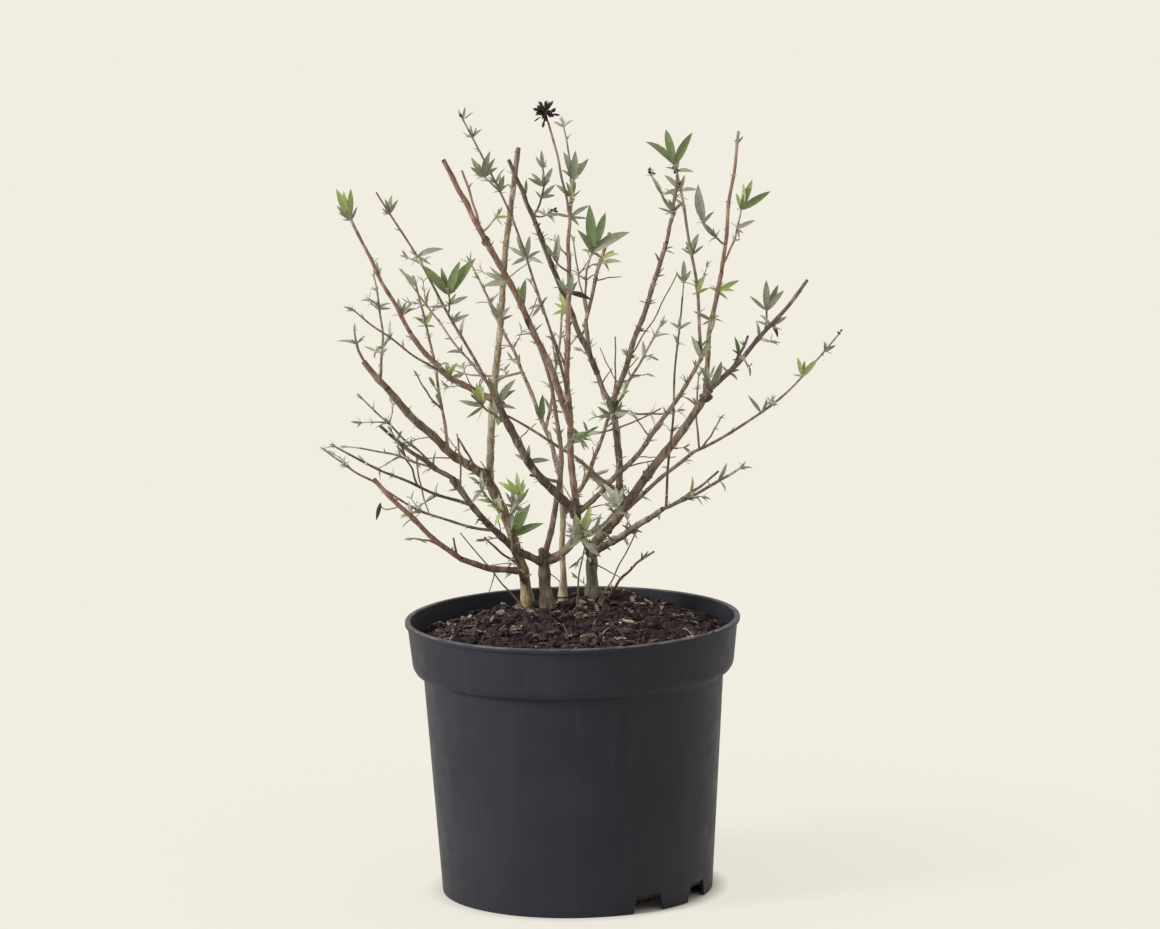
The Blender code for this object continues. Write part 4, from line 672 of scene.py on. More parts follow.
def draw_leaf(sheaf, root, shoulder, tip, across, wide=LANCE_WIDTH):
    """A thin lance-shaped leaf, folded a little along its rib: its upper face has skin 0, its underside skin 1."""
    outward = (tip - root).normalized()
    across = (across - outward * across.dot(outward)).normalized()
    above = outward.cross(across)
    length = (tip - root).length
    half_width = length * wide / 2
    depth = min(LEAF_HALF_THICKNESS * MM, half_width * 0.3)
    bend = (shoulder - root.lerp(tip, LEAF_SHOULDER)) / (4 * LEAF_SHOULDER * (1 - LEAF_SHOULDER))
    bend += above * LEAF_ARCH * length
    points = []
    for u in LEAF_STATIONS:
        middle = root.lerp(tip, u) + bend * (4 * u * (1 - u))
        half = half_width * math.sin(math.pi * u**0.8) ** 0.85
        edge = above * half * LEAF_FOLD
        points += [
            middle + across * half + edge,
            middle + above * depth,
            middle - across * half + edge,
            middle - above * depth,
        ]
    faces = ring_faces(len(LEAF_STATIONS), 4)
    skins = [0, 0, 1, 1] * (len(LEAF_STATIONS) - 1)
    last = len(points) - 4
    points += [root, tip]
    for i in range(4):
        j = (i + 1) % 4
        faces.append((last + 4, j, i))
        faces.append((last + i, last + j, last + 5))
        skins += [0 if i < 2 else 1] * 2
    sheaf.add(points, faces, skins)


def placed_leaf(limb, t, tip_seen, chance):
    """A leaf from t whose tip is seen at a given place. Its tip's depth and its turn about its rib are drawn."""
    middle = limb.at(t)
    reach = (Vector(tip_seen) - as_seen(middle)).length
    deep = middle.y / MM + chance.uniform(-TUFT_DEPTH, TUFT_DEPTH) * reach
    tip = seen(tip_seen[0], deep, tip_seen[1])
    axis = limb.axis(t)
    shift = axis * chance.uniform(-ROOT_SHIFT, ROOT_SHIFT) * MM
    root = middle - (tip - middle).normalized() * limb.radius(t) * ROOT_PAST_AXIS + shift
    shoulder = root.lerp(tip, LEAF_SHOULDER) + axis * (tip - root).length * TUFT_BOW
    turn = chance.uniform(-TUFT_TURN, TUFT_TURN)
    above = Vector((0, -1, 0)) * math.cos(turn) + axis * math.sin(turn)
    return root, shoulder, tip, above.cross(tip - root)


def nearest_place(limb, root_seen):
    """How far along a limb its point is that is seen nearest to a tuft's root."""
    places = [i / PLACE_STEPS for i in range(PLACE_STEPS + 1)]
    return min(places, key=lambda place_on: (as_seen(limb.at(place_on)) - Vector(root_seen)).length)


def main_leaves(limb, nodes, tip_length, chance):
    """The leaves that the solids have: opposite pairs at the nodes, and a tuft on an unpruned tip."""
    leaves = []
    turn = chance.uniform(0, math.pi)
    for i in range(nodes):
        place_on = FIRST_NODE + i + chance.uniform(-NODE_SHIFT, NODE_SHIFT)
        t = place_on / (FIRST_NODE + nodes - 1 + LAST_NODE)
        for half in (0, math.pi):
            length = chance.uniform(*NODE_LEAVES) * MM
            tilt = math.radians(chance.uniform(*NODE_TILT))
            angle = turn + half + chance.uniform(-TURN_SHIFT, TURN_SHIFT)
            leaves.append((t, angle, "node", leaf_at(limb, t, angle, tilt, length, chance)))
        turn += math.pi / 2 + chance.uniform(-TURN_SHIFT, TURN_SHIFT)
    if tip_length:
        count = LARGE_TUFT if tip_length >= LARGE_LEAF else SMALL_TUFT
        for i in range(count):
            inner = i >= OUTER_LEAVES
            length = tip_length * chance.uniform(*TIP_LENGTH) * (INNER_LENGTH if inner else 1.0) * MM
            tilt = math.radians(chance.uniform(*TIP_TILT) * (INNER_TILT if inner else 1.0))
            quarter = math.pi / 2 if inner else 0.0
            angle = turn + math.pi * i + quarter + chance.uniform(-TURN_SHIFT, TURN_SHIFT)
            t = 1 - (INNER_BACK if inner else OUTER_BACK) * MM / limb.length
            leaves.append((t, angle, "tip", leaf_at(limb, t, angle, tilt, length, chance)))
    return leaves


def small_tuft(limb, t, turn, count, lengths, chance):
    """A few small leaves that stand out of one side of a node."""
    leaves = []
    for _ in range(count):
        angle = turn + chance.uniform(-SMALL_TURN, SMALL_TURN)
        tilt = math.radians(chance.uniform(*SMALL_TILT))
        length = chance.uniform(*lengths) * MM
        leaves.append(leaf_at(limb, t, angle, tilt, length, chance))
    return leaves


def in_thick(point):
    """Whether a point is in the middle of the crown, where the twigs stand thickest."""
    return THICK_ACROSS[0] < point.x < THICK_ACROSS[1] and THICK_UP[0] < point.z < THICK_UP[1]


def even_nodes(limb, first=0.35):
    """Places of the nodes of a limb between its tufts, closer together in the thick middle of the crown."""
    spacing = THICK_SPACING if in_thick(limb.at(0.5)) else NODE_SPACING
    count = int(limb.length / (spacing * MM) + 0.4)
    return [(i + first) / max(count, 1) for i in range(count)]


class Bush:
    """The whole plant above the soil, gathered into pieces."""

    def __init__(self):
        self.limbs = grow_all_limbs()
        self.habits = {row[0]: row[6:] for row in SHOOTS}
        self.leaves = {tone: Sheaf() for tone in LEAF_TONES}
        self.twigs = Sheaf()
        self.pods = Sheaf()
        self.dead = Sheaf()
        self.count = 0

    def leaf(self, tone, spot):
        draw_leaf(self.leaves[tone], *spot)
        self.count += 1

    def tone_for(self, chance):
        return chance.choices(LEAF_TONES, weights=(9, 12, 44, 35))[0]

    def dress_tufts(self, limb):
        """The tufts that the photo shows on this limb, with a few smaller leaves between theirs."""
        for name, root_seen, tone, tips in TUFTS:
            if name != limb.name:
                continue
            chance = random.Random(f"{name} {root_seen}")
            t = nearest_place(limb, root_seen)
            for tip in tips:
                self.leaf(tone, placed_leaf(limb, t, tip, chance))
            extra = random.Random(f"{name} {root_seen} small")
            turn = extra.uniform(0, math.pi)
            for half in (0, math.pi):
                for spot in small_tuft(limb, t, turn + half, extra.choice((1, 2, 3)), (4, 10), extra):
                    self.leaf(tone, spot)
            limb.nodes.append(t)

    def dress_shoot(self, limb):
        """The leaves of one shoot, with small leaves between them and short leafy twigs at some nodes."""
        nodes, tip_length = self.habits[limb.name]
        chance = random.Random(limb.name + " leaves")
        extra = random.Random(limb.name + " fine")
        tip_tone = self.tone_for(extra)
        self.dress_tufts(limb)
        limb.leafy_tip = bool(tip_length) or any((1 - t) * limb.length < FELT_REACH * MM for t in limb.nodes)
        for t, angle, kind, spot in main_leaves(limb, nodes, tip_length, chance):
            if kind == "tip":
                self.leaf(tip_tone, spot)
                small = (0.3 * tip_length, 0.6 * tip_length)
                for more in small_tuft(limb, t, angle, 1, small, extra):
                    self.leaf(tip_tone, more)
                continue
            limb.nodes.append(t)
            tone = self.tone_for(extra)
            self.leaf(tone, spot)
            for more in small_tuft(limb, t, angle, extra.choice((1, 2, 2, 3)), SMALL_LEAVES, extra):
                self.leaf(tone, more)
            if extra.random() < 0.3 and limb.length > 60 * MM and t < 0.85:
                self.side_twig(limb, t, angle, extra, leafy=True)
        self.dress_nodes(limb, leafy=0.26 if nodes else 0.4, twiggy=0.0 if nodes else 0.05, lengths=(4, 9))

    def dress_nodes(self, limb, leafy, twiggy, lengths):
        """Nodes between the tufts: on either side a small tuft, a thin twig or nothing, turned a quarter each time."""
        extra = random.Random(limb.name + " nodes")
        turn = extra.uniform(0, math.pi)
        tufts = list(limb.nodes)
        for t in even_nodes(limb):
            turn += math.pi / 2 + extra.uniform(-TURN_SHIFT, TURN_SHIFT)
            if any(abs(t - other) * limb.length < NEAR_TUFT * MM for other in tufts):
                continue
            limb.nodes.append(t)
            share = leafy + (THICK_MORE if in_thick(limb.at(t)) else 0.0)
            for half in (0, math.pi):
                draw = extra.random()
                if draw < share:
                    tone = self.tone_for(extra)
                    for spot in small_tuft(limb, t, turn + half, extra.choice((2, 3, 4)), lengths, extra):
                        self.leaf(tone, spot)
                elif draw < share + twiggy and t < LAST_TWIG:
                    self.side_twig(limb, t, turn + half, extra, leafy=extra.random() < 0.4)

    def side_twig(self, parent, t, turn, chance, leafy):
        """A short thin twig from a node, with a tuft of small leaves at its end, or bare and dead."""
        length = chance.uniform(*(LEAFY_TWIG if leafy else DEAD_TWIG)) * MM
        tilt = math.radians(chance.uniform(30, 60))
        root, _, tip, _ = leaf_at(parent, t, turn, tilt, length, chance)
        name = f"{parent.name}.side{len(self.limbs)}"
        bow = (chance.uniform(-1, 1), chance.uniform(-1, 1))
        twig = Limb(name, root, tip, bow, (chance.uniform(1.1, 1.5), 0.8))
        twig.node = parent.node
        twig.leafy_tip = leafy
        self.limbs[name] = twig
        self.draw_twig(twig)
        if not leafy:
            return
        tone = self.tone_for(chance)
        for place_on, count, lengths in ((0.55, 1, (5, 8)), (0.95, 2, (6, 11))):
            for half in (0, math.pi):
                for spot in small_tuft(twig, place_on, turn + half, count, lengths, chance):
                    self.leaf(tone, spot)

    def draw_twig(self, limb):
        own = TWIG_SKINS.index(TWIG_TONES.get(limb.node, "twig_brown"))
        felt = TWIG_SKINS.index("twig_felt")
        cut = TWIG_SKINS.index("cut_end")
        sink = 1.2 if limb.continues else 0.0

        def skin(t):
            return felt if limb.leafy_tip and (1 - t) * limb.length < FELT_REACH * MM else own

        draw_limb(self.twigs, limb, TWIG_SIDES, TWIG_STEP, 0.05, skin, felt if limb.leafy_tip else cut, sink)

    def draw_head(self, middle, axis, count, spread, chance):
        """Short stalks all round a middle that each end in a dry pod."""
        for i in range(count):
            rise = 1 - 2 * (i + 0.5) / count
            turn = SPIRAL_TURN * i
            flat = math.sqrt(1 - rise * rise)
            aim = Vector((flat * math.cos(turn), flat * math.sin(turn), rise))
            jitter = Vector([chance.uniform(-POD_JITTER, POD_JITTER) for _ in range(3)])
            aim = (aim + axis * HEAD_LEAN + jitter).normalized()
            tip = middle + aim * max(spread * 0.5, spread + chance.uniform(*POD_REACH)) * MM
            root = middle.lerp(tip, chance.uniform(0.2, 0.45))
            skin = chance.choice((0, 0, 1))
            draw_pod(self.pods, middle, middle.lerp(root, 1.2), STALK_HALF_WIDTH * MM, skin)
            draw_pod(self.pods, root, tip, chance.uniform(*POD_HALF_WIDTH) * MM, skin)

    def draw_seed_head(self, limb, count, spread):
        """A dry head on the end of a twig."""
        axis = limb.axis(1.0)
        middle = limb.tip + axis * spread * HEAD_OFFSET * MM
        draw_pod(self.pods, limb.at(CORE_START), middle + axis * spread * 0.3 * MM, limb.widths[1] / 2, 0)
        self.draw_head(middle, axis, count, spread, random.Random(limb.name + " pods"))

    def add_dead_bits(self):
        for name, place_seen, count, spread in DEAD_CLUSTERS:
            limb = self.limbs[name]
            chance = random.Random(f"{name} {place_seen}")
            t = nearest_place(limb, place_seen)
            self.draw_head(limb.at(t), limb.axis(t), count, spread, chance)
        for name, root_seen, tip_seen in DEAD_LEAVES:
            limb = self.limbs[name]
            t = nearest_place(limb, root_seen)
            spot = placed_leaf(limb, t, tip_seen, random.Random(f"{name} {root_seen}"))
            draw_leaf(self.dead, *spot)

    def build(self):
        for row in SHOOTS:
            self.dress_shoot(self.limbs[row[0]])
        for row in STEMS + BOUGHS:
            limb = self.limbs[row[0]]
            self.dress_tufts(limb)
            self.dress_nodes(limb, leafy=0.42, twiggy=0.2, lengths=(6, 13))
        for row in SHOOTS:
            limb = self.limbs[row[0]]
            self.draw_twig(limb)
            if limb.name in SEED_HEADS:
                self.draw_seed_head(limb, *SEED_HEADS[limb.name])
        for row in BARE_TWIGS + FOOT_TWIGS:
            limb = self.limbs[row[0]]
            limb.nodes = even_nodes(limb)
            self.draw_twig(limb)
        self.add_dead_bits()
        self.draw_boughs()
        self.gather()

    def draw_boughs(self):
        for row in STEMS + BOUGHS:
            limb = self.limbs[row[0]]
            bark = Sheaf()
            sink = STEM_SINK if limb.flare else (1.2 if limb.continues else 0.0)
            draw_limb(bark, limb, BOUGH_SIDES, BOUGH_STEP, BARK_RELIEF, 0, 1, sink)
            skin = MATERIALS[BARKS.get(limb.name, "bark_brown")]
            piece = bark.piece("bark_" + limb.name, [skin, MATERIALS["cut_end"]], "bark")
            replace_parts(piece, limb.name)

    def gather(self):
        sprays = sorted({row[0].partition(".")[0] for row in SHOOTS})
        twigs = self.twigs.piece("twigs", [MATERIALS[name] for name in TWIG_SKINS], "bark")
        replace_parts(twigs, *sprays)
        for tone, sheaf in self.leaves.items():
            skins = [MATERIALS["leaf_" + tone], MATERIALS["under_" + tone]]
            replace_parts(sheaf.piece("leaves_" + tone, skins, "foliage"), *sprays)
        self.pods.piece("seed_heads", [MATERIALS["pod_dark"], MATERIALS["pod_brown"]], "foliage")
        dead = MATERIALS["leaf_dead"]
        self.dead.piece("dead_leaves", [dead, dead], "foliage")
        knobs = Sheaf()
        for name, t, width in KNOBS:
            limb = self.limbs[name]
            draw_lump(knobs, limb.at(t), width / 2 * MM, limb.axis(t), random.Random(f"{name} {t}"), 0, LUMP)
        knobs.piece("knobs", [MATERIALS["bark_dark"]], "bark")
        print("leaves", self.count, "twig faces", len(self.twigs.faces))


def draw_pod(sheaf, root, tip, half_width, skin):
    """A dry pointed seed pod, fattest below its beak."""
    outward = (tip - root).normalized()
    across = outward.orthogonal().normalized()
    other = outward.cross(across)
    points = []
    profile = ((0.1, 0.35), (0.35, 0.7), (0.6, 1.0), (0.8, 0.75))
    for u, share in profile:
        for i in range(5):
            a = 2 * math.pi * i / 5
            reach = half_width * share
            points.append(root.lerp(tip, u) + (across * math.cos(a) + other * math.sin(a)) * reach)
    faces = ring_faces(len(profile), 5)
    last = len(points) - 5
    points += [root, tip]
    for i in range(5):
        j = (i + 1) % 5
        faces.append((last + 5, j, i))
        faces.append((last + i, last + j, last + 6))
    sheaf.add(points, faces, skin)


def icosahedron():
    """Points and faces of a unit icosahedron."""
    g = (1 + math.sqrt(5)) / 2
    points = []
    for a in (-1, 1):
        for b in (-g, g):
            points += [Vector((0, a, b)), Vector((a, b, 0)), Vector((b, 0, a))]
    points = [point.normalized() for point in points]
    edge = min((points[0] - other).length for other in points[1:]) * 1.1
    near = [{j for j in range(12) if j != i and (points[i] - points[j]).length < edge} for i in range(12)]
    faces = []
    for i in range(12):
        for j in near[i]:
            for k in near[i] & near[j]:
                if i < j < k:
                    normal = (points[j] - points[i]).cross(points[k] - points[i])
                    faces.append((i, j, k) if normal.dot(points[i]) > 0 else (i, k, j))
    return points, faces


ICO_POINTS, ICO_FACES = icosahedron()


def finer(points, faces):
    """Splits each triangle in four and puts the new points on the unit sphere."""
    points = list(points)
    middles = {}

    def middle(a, b):
        key = (min(a, b), max(a, b))
        if key not in middles:
            middles[key] = len(points)
            points.append((points[a] + points[b]).normalized())
        return middles[key]

    split = []
    for a, b, c in faces:
        ab, bc, ca = middle(a, b), middle(b, c), middle(c, a)
        split += [(a, ab, ca), (ab, b, bc), (ca, bc, c), (ab, bc, ca)]
    return points, split


CLOD = finer(ICO_POINTS, ICO_FACES)
LUMP = finer(*CLOD)


def draw_lump(sheaf, middle, radius, axis, chance, skin, shape):
    """A rough closed lump, drawn out along an axis."""
    shift = Vector((chance.uniform(0, 50), chance.uniform(0, 50), 0))
    points = []
    for point in shape[0]:
        rough = 0.7 * noise.noise(point * 1.6 + shift) + 0.3 * noise.noise(point * 3.9 + shift)
        drawn_out = point + axis * point.dot(axis) * KNOB_STRETCH
        points.append(middle + drawn_out * radius * (0.85 + rough))
    sheaf.add(points, shape[1], skin)


def inner_radius(height):
    """The radius of the pot's inside at a height, both in mm."""
    if height <= STEP_HEIGHT:
        slope = (STEP_RADIUS - FOOT_RADIUS) / STEP_HEIGHT
        return FOOT_RADIUS + slope * height - POT_WALL
    slope = (COLLAR_TOP_RADIUS - COLLAR_FOOT_RADIUS) / (POT_HEIGHT - COLLAR_FOOT_HEIGHT)
    return COLLAR_FOOT_RADIUS + slope * (height - COLLAR_FOOT_HEIGHT) - POT_WALL


def rounded(corner, before, after, size, steps=4):
    """Points of a small round bend in place of a profile's corner, in mm."""
    corner, before, after = Vector(corner), Vector(before), Vector(after)
    start = corner + (before - corner).normalized() * size
    end = corner + (after - corner).normalized() * size
    bend = []
    for i in range(steps + 1):
        t = i / steps
        bend.append(tuple(start * (1 - t) ** 2 + corner * 2 * t * (1 - t) + end * t**2))
    return bend


def pot_profile():
    """(radius, height) from the middle of the underside, up the outside, over the lip and down the inside."""
    floor = FLOOR_UNDERSIDE + POT_WALL
    foot_inside = FOOT_RADIUS - POT_WALL
    lip_foot = POT_HEIGHT - LIP_HEIGHT
    corners = (
        (foot_inside, 0, 0.5),
        (FOOT_RADIUS, 0, 0.8),
        (STEP_RADIUS, STEP_HEIGHT, 2.4),
        (COLLAR_FOOT_RADIUS - COLLAR_ROUNDING, STEP_HEIGHT + COLLAR_ROUNDING, 2.0),
        (COLLAR_FOOT_RADIUS, COLLAR_FOOT_HEIGHT, 2.6),
        (COLLAR_TOP_RADIUS, lip_foot - LIP_ROUNDING, 0.9),
        (RIM_RADIUS, lip_foot, 0.7),
        (RIM_RADIUS, POT_HEIGHT, 1.3),
        (inner_radius(POT_HEIGHT), POT_HEIGHT, 0.9),
        (inner_radius(COLLAR_FOOT_HEIGHT), COLLAR_FOOT_HEIGHT, 1.6),
    )
    chain = [(foot_inside, FLOOR_UNDERSIDE), *[c[:2] for c in corners], (inner_radius(STEP_HEIGHT), STEP_HEIGHT)]
    profile = [(0, 0), (PAD_RADIUS, 0), (PAD_RADIUS + PAD_SLOPE, FLOOR_UNDERSIDE), chain[0]]
    for i, (_, _, size) in enumerate(corners):
        profile += rounded(chain[i + 1], chain[i], chain[i + 2], size)
    profile += [chain[-1], (inner_radius(floor), floor), (PAD_RADIUS, floor), (0, floor)]
    return profile


def revolve(name, profile, segments, wobble=0.0):
    """Turns a profile of (radius, height) in mm about the Z axis. A radius of 0 closes it there."""
    shape = bmesh.new()
    rings = []
    turns = [2 * math.pi * i / segments for i in range(segments)]
    for radius, height in profile:
        if radius == 0:
            rings.append([shape.verts.new((0, 0, height * MM))])
            continue
        ring = []
        for a in turns:
            spot = Vector((math.cos(a), math.sin(a), height * 0.006)) * 1.7
            reach = (radius + wobble * noise.noise(spot)) * MM
            ring.append(shape.verts.new((reach * math.cos(a), reach * math.sin(a), height * MM)))
        rings.append(ring)
    for low, high in zip(rings, rings[1:]):
        for i in range(segments):
            j = (i + 1) % segments
            corners = [low[i % len(low)], low[j % len(low)], high[j % len(high)], high[i % len(high)]]
            shape.faces.new(list(dict.fromkeys(corners)))
    bmesh.ops.recalc_face_normals(shape, faces=shape.faces)
    mesh = bpy.data.meshes.new(name)
    shape.to_mesh(mesh)
    shape.free()
    return bpy.data.objects.new(name, mesh)


def notch_cutter(angle):
    """A block with sloping sides that opens the foot of the pot, turned from straight in front."""
    shape = bmesh.new()
    low, high = NOTCH_WIDTH / 2, NOTCH_WIDTH / 2 - NOTCH_SLOPE
    inner, outer = FOOT_RADIUS - NOTCH_INSIDE, FOOT_RADIUS + NOTCH_OUTSIDE
    outline = ((-low, -1), (low, -1), (high, NOTCH_HEIGHT), (-high, NOTCH_HEIGHT))
    ends = [
        [shape.verts.new((x * MM, -depth * MM, z * MM)) for x, z in outline] for depth in (inner, outer)
    ]
    for i in range(4):
        j = (i + 1) % 4
        shape.faces.new((ends[0][i], ends[0][j], ends[1][j], ends[1][i]))
    shape.faces.new(ends[0])
    shape.faces.new(ends[1])
    bmesh.ops.recalc_face_normals(shape, faces=shape.faces)
    turned = Matrix.Rotation(math.radians(angle), 3, "Z")
    bmesh.ops.rotate(shape, verts=shape.verts, cent=(0, 0, 0), matrix=turned)
    mesh = bpy.data.meshes.new("notch")
    shape.to_mesh(mesh)
    shape.free()
    return bpy.data.objects.new("notch", mesh)


def make_pot():
    pot = revolve("pot_shell", pot_profile(), POT_SEGMENTS, wobble=POT_WOBBLE)
    pot.data.materials.append(MATERIALS["pot"])
    place(pot)
    for angle in NOTCH_ANGLES:
        cutter = notch_cutter(angle)
        bpy.context.scene.collection.objects.link(cutter)
        cut = pot.modifiers.new("Notch", "BOOLEAN")
        cut.operation = "DIFFERENCE"
        cut.object = cutter
        bpy.context.view_layer.update()
        graph = bpy.context.evaluated_depsgraph_get()
        mesh = bpy.data.meshes.new_from_object(pot.evaluated_get(graph))
        pot.modifiers.clear()
        pot.data = mesh
        bpy.data.objects.remove(cutter, do_unlink=True)
    pot.data.shade_smooth()
    pot.data.set_sharp_from_angle(angle=math.radians(32))
    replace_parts(pot, "pot")


def soil_height(x, y):
    """The mound's height at a place, all in mm: level round the stems, lower behind them on the left."""
    away = max(math.hypot(x - SEAT.x, y - SEAT.y) - SEAT_RADIUS, 0.0)
    edge = max(inner_radius(POT_HEIGHT) - math.hypot(x, y), 0.0)
    share = edge / (edge + away + 1e-6)
    smooth = share * share * (3 - 2 * share)
    rise = SOIL_EDGE_HEIGHT + (SEAT.z - SOIL_EDGE_HEIGHT) * smooth
    behind = min(max((y - 40) / 40, 0.0), 1.0)
    rise += behind * min(max((x - 8) / 30, -1.0), 1.0) * (3.5 if x > 8 else 10.0)
    rough = sum(noise.noise(Vector((x, y, size * 90)) / size) * lift for size, lift in SOIL_WAVES)
    return rise + rough * min(1.0, 0.35 + edge / 30)


def make_soil():
    wall = inner_radius(SOIL_EDGE_HEIGHT) - SOIL_CLEARANCE
    turns = [2 * math.pi * i / SOIL_SEGMENTS for i in range(SOIL_SEGMENTS)]
    points = []
    for r in range(SOIL_RINGS):
        reach = wall * (1 - r / SOIL_RINGS)
        for a in turns:
            x, y = reach * math.cos(a), reach * math.sin(a)
            points.append(Vector((x, y, soil_height(x, y))) * MM)
    lower = []
    floor = FLOOR_UNDERSIDE + POT_WALL + GAP / MM
    for height in (floor, STEP_HEIGHT):
        reach = inner_radius(height) - SOIL_CLEARANCE
        lower += [Vector((reach * math.cos(a), reach * math.sin(a), height)) * MM for a in turns]
    points = lower + points
    faces = ring_faces(SOIL_RINGS + 2, SOIL_SEGMENTS)
    last = len(points) - SOIL_SEGMENTS
    points += [Vector((0, 0, floor)) * MM, Vector((0, 0, soil_height(0, 0))) * MM]
    for i in range(SOIL_SEGMENTS):
        j = (i + 1) % SOIL_SEGMENTS
        faces.append((last + SOIL_SEGMENTS, j, i))
        faces.append((last + i, last + j, last + SOIL_SEGMENTS + 1))
    soil = Sheaf()
    soil.add(points, faces, 0)
    piece = soil.piece("soil_mound", [MATERIALS["soil"]], "soil", sharp=math.radians(70))
    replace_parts(piece, "soil")


def random_spot(chance, margin):
    """A place on the soil, in mm, evenly dealt over its surface."""
    reach = (inner_radius(SOIL_EDGE_HEIGHT) - margin) * math.sqrt(chance.random())
    turn = chance.uniform(0, 2 * math.pi)
    return reach * math.cos(turn), reach * math.sin(turn)


def draw_crumb(sheaf, middle, radius, chance, skin):
    """A small rough grain of twenty faces."""
    turned = Matrix.Rotation(chance.uniform(0, 6.3), 3, Vector((chance.random(), 1, chance.random())))
    flat = chance.uniform(0.55, 0.95)
    points = []
    for point in ICO_POINTS:
        spot = turned @ (point * radius * chance.uniform(0.7, 1.25))
        points.append(middle + Vector((spot.x, spot.y, spot.z * flat)))
    sheaf.add(points, ICO_FACES, skin)


def draw_chip(sheaf, middle, length, width, thick, chance, skin):
    """A flat splinter of bark with a ragged outline, lying at its own tilt."""
    corners = chance.choice((5, 6, 7))
    heading = Matrix.Rotation(chance.uniform(0, 2 * math.pi), 3, "Z")
    lean = Matrix.Rotation(chance.gauss(0, 0.4), 3, "X") @ Matrix.Rotation(chance.gauss(0, 0.3), 3, "Y")
    rim = []
    for i in range(corners):
        a = 2 * math.pi * (i + chance.uniform(-0.3, 0.3)) / corners
        rim.append((math.cos(a) * length / 2, math.sin(a) * width / 2))
    points = []
    for side in (-0.5, 0.5):
        for x, y in rim:
            bent = chance.uniform(-0.2, 0.2) * thick + 0.6 * thick * math.cos(3 * x / length)
            points.append(middle + heading @ lean @ Vector((x, y, side * thick + bent)))
    faces = ring_faces(2, corners)
    faces.append(tuple(reversed(range(corners))))
    faces.append(tuple(range(corners, 2 * corners)))
    sheaf.add(points, faces, skin)


def dress_soil():
    """Clods and crumbs of peat, bark chips, pale fibres and a few white grains, all lying in the surface."""
    chance = random.Random("soil dressing")
    crumbs = Sheaf()
    for _ in range(CLODS):
        x, y = random_spot(chance, 5)
        radius = chance.uniform(2.0, 4.6)
        middle = Vector((x, y, soil_height(x, y) + radius * chance.uniform(-0.5, 0.2))) * MM
        lie = Vector((chance.uniform(-1, 1), chance.uniform(-1, 1), 0.1)).normalized()
        draw_lump(crumbs, middle, radius * MM, lie, chance, chance.choice((0, 1, 2)), CLOD)
    for _ in range(CRUMBS):
        x, y = random_spot(chance, 2.5)
        radius = chance.uniform(0.6, 1.5) if chance.random() < 0.75 else chance.uniform(1.5, 2.6)
        middle = Vector((x, y, soil_height(x, y) + radius * chance.uniform(-0.2, 0.5))) * MM
        draw_crumb(crumbs, middle, radius * MM, chance, chance.choice((0, 0, 1, 2)))
    across, deep, spread = RIM_CLUMP
    for _ in range(14):
        spot = Vector((across, deep, POT_HEIGHT)) + Vector([chance.gauss(0, spread / 2) for _ in range(2)] + [0])
        draw_crumb(crumbs, spot * MM, chance.uniform(0.9, 2.0) * MM, chance, 2)
    crumbs.piece("peat_crumbs", [MATERIALS[n] for n in ("soil", "peat_dark", "peat_brown")], "soil")
    chips = Sheaf()
    for _ in range(CHIPS):
        x, y = random_spot(chance, 7)
        length = chance.uniform(4, 9) if chance.random() < 0.75 else chance.uniform(9, 19)
        width = length * chance.uniform(0.13, 0.36)
        thick = chance.uniform(0.7, 1.7)
        middle = Vector((x, y, soil_height(x, y) + chance.uniform(0.2, 2.2))) * MM
        skin = chance.choices((0, 1, 2, 3), weights=(46, 30, 18, 12 if x > 0 else 5))[0]
        draw_chip(chips, middle, length * MM, width * MM, thick * MM, chance, skin)
    for x, y, length, width, skin in PLACED_CHIPS:
        middle = Vector((x, y, soil_height(x, y) + 2.2)) * MM
        draw_chip(chips, middle, length * MM, width * MM, 1.6 * MM, chance, skin)
    names = ("chip_dark", "chip_brown", "chip_grey", "chip_pale")
    chips.piece("bark_chips", [MATERIALS[name] for name in names], "soil")
    fibres = Sheaf()
    for k in range(FIBRES):
        x, y = random_spot(chance, 14)
        turn = chance.uniform(0, 2 * math.pi)
        length = chance.uniform(6, 22)
        ends = []
        for side in (-0.5, 0.5):
            fx, fy = x + side * length * math.cos(turn), y + side * length * math.sin(turn)
            ends.append(Vector((fx, fy, soil_height(fx, fy) + chance.uniform(0.1, 2.6))) * MM)
        bow = (chance.uniform(-1.5, 1.5), chance.uniform(0, 2))
        width = chance.uniform(0.4, 1.1)
        fibre = Limb(f"fibre {k}", ends[0], ends[1], bow, (width, width * 0.6))
        draw_limb(fibres, fibre, 4, 2.5, 0.0, chance.choice((0, 0, 1)), 0)
    fibres.piece("peat_fibres", [MATERIALS["fibre_brown"], MATERIALS["fibre_pale"]], "soil")
    grains = Sheaf()
    for x, y in [random_spot(chance, 14) for _ in range(GRAINS)]:
        radius = chance.uniform(0.8, 1.9)
        middle = Vector((x, y, soil_height(x, y) + radius * 0.6)) * MM
        draw_crumb(grains, middle, radius * MM, chance, 0)
    grains.piece("white_grains", [MATERIALS["grain_white"]], "soil")


def linear(code):
    """A plain colour written as six hexadecimal digits, as linear red, green and blue."""
    channels = [int(code[i : i + 2], 16) / 255 for i in (0, 2, 4)]
    return tuple(c / 12.92 if c <= 0.04045 else ((c + 0.055) / 1.055) ** 2.4 for c in channels)


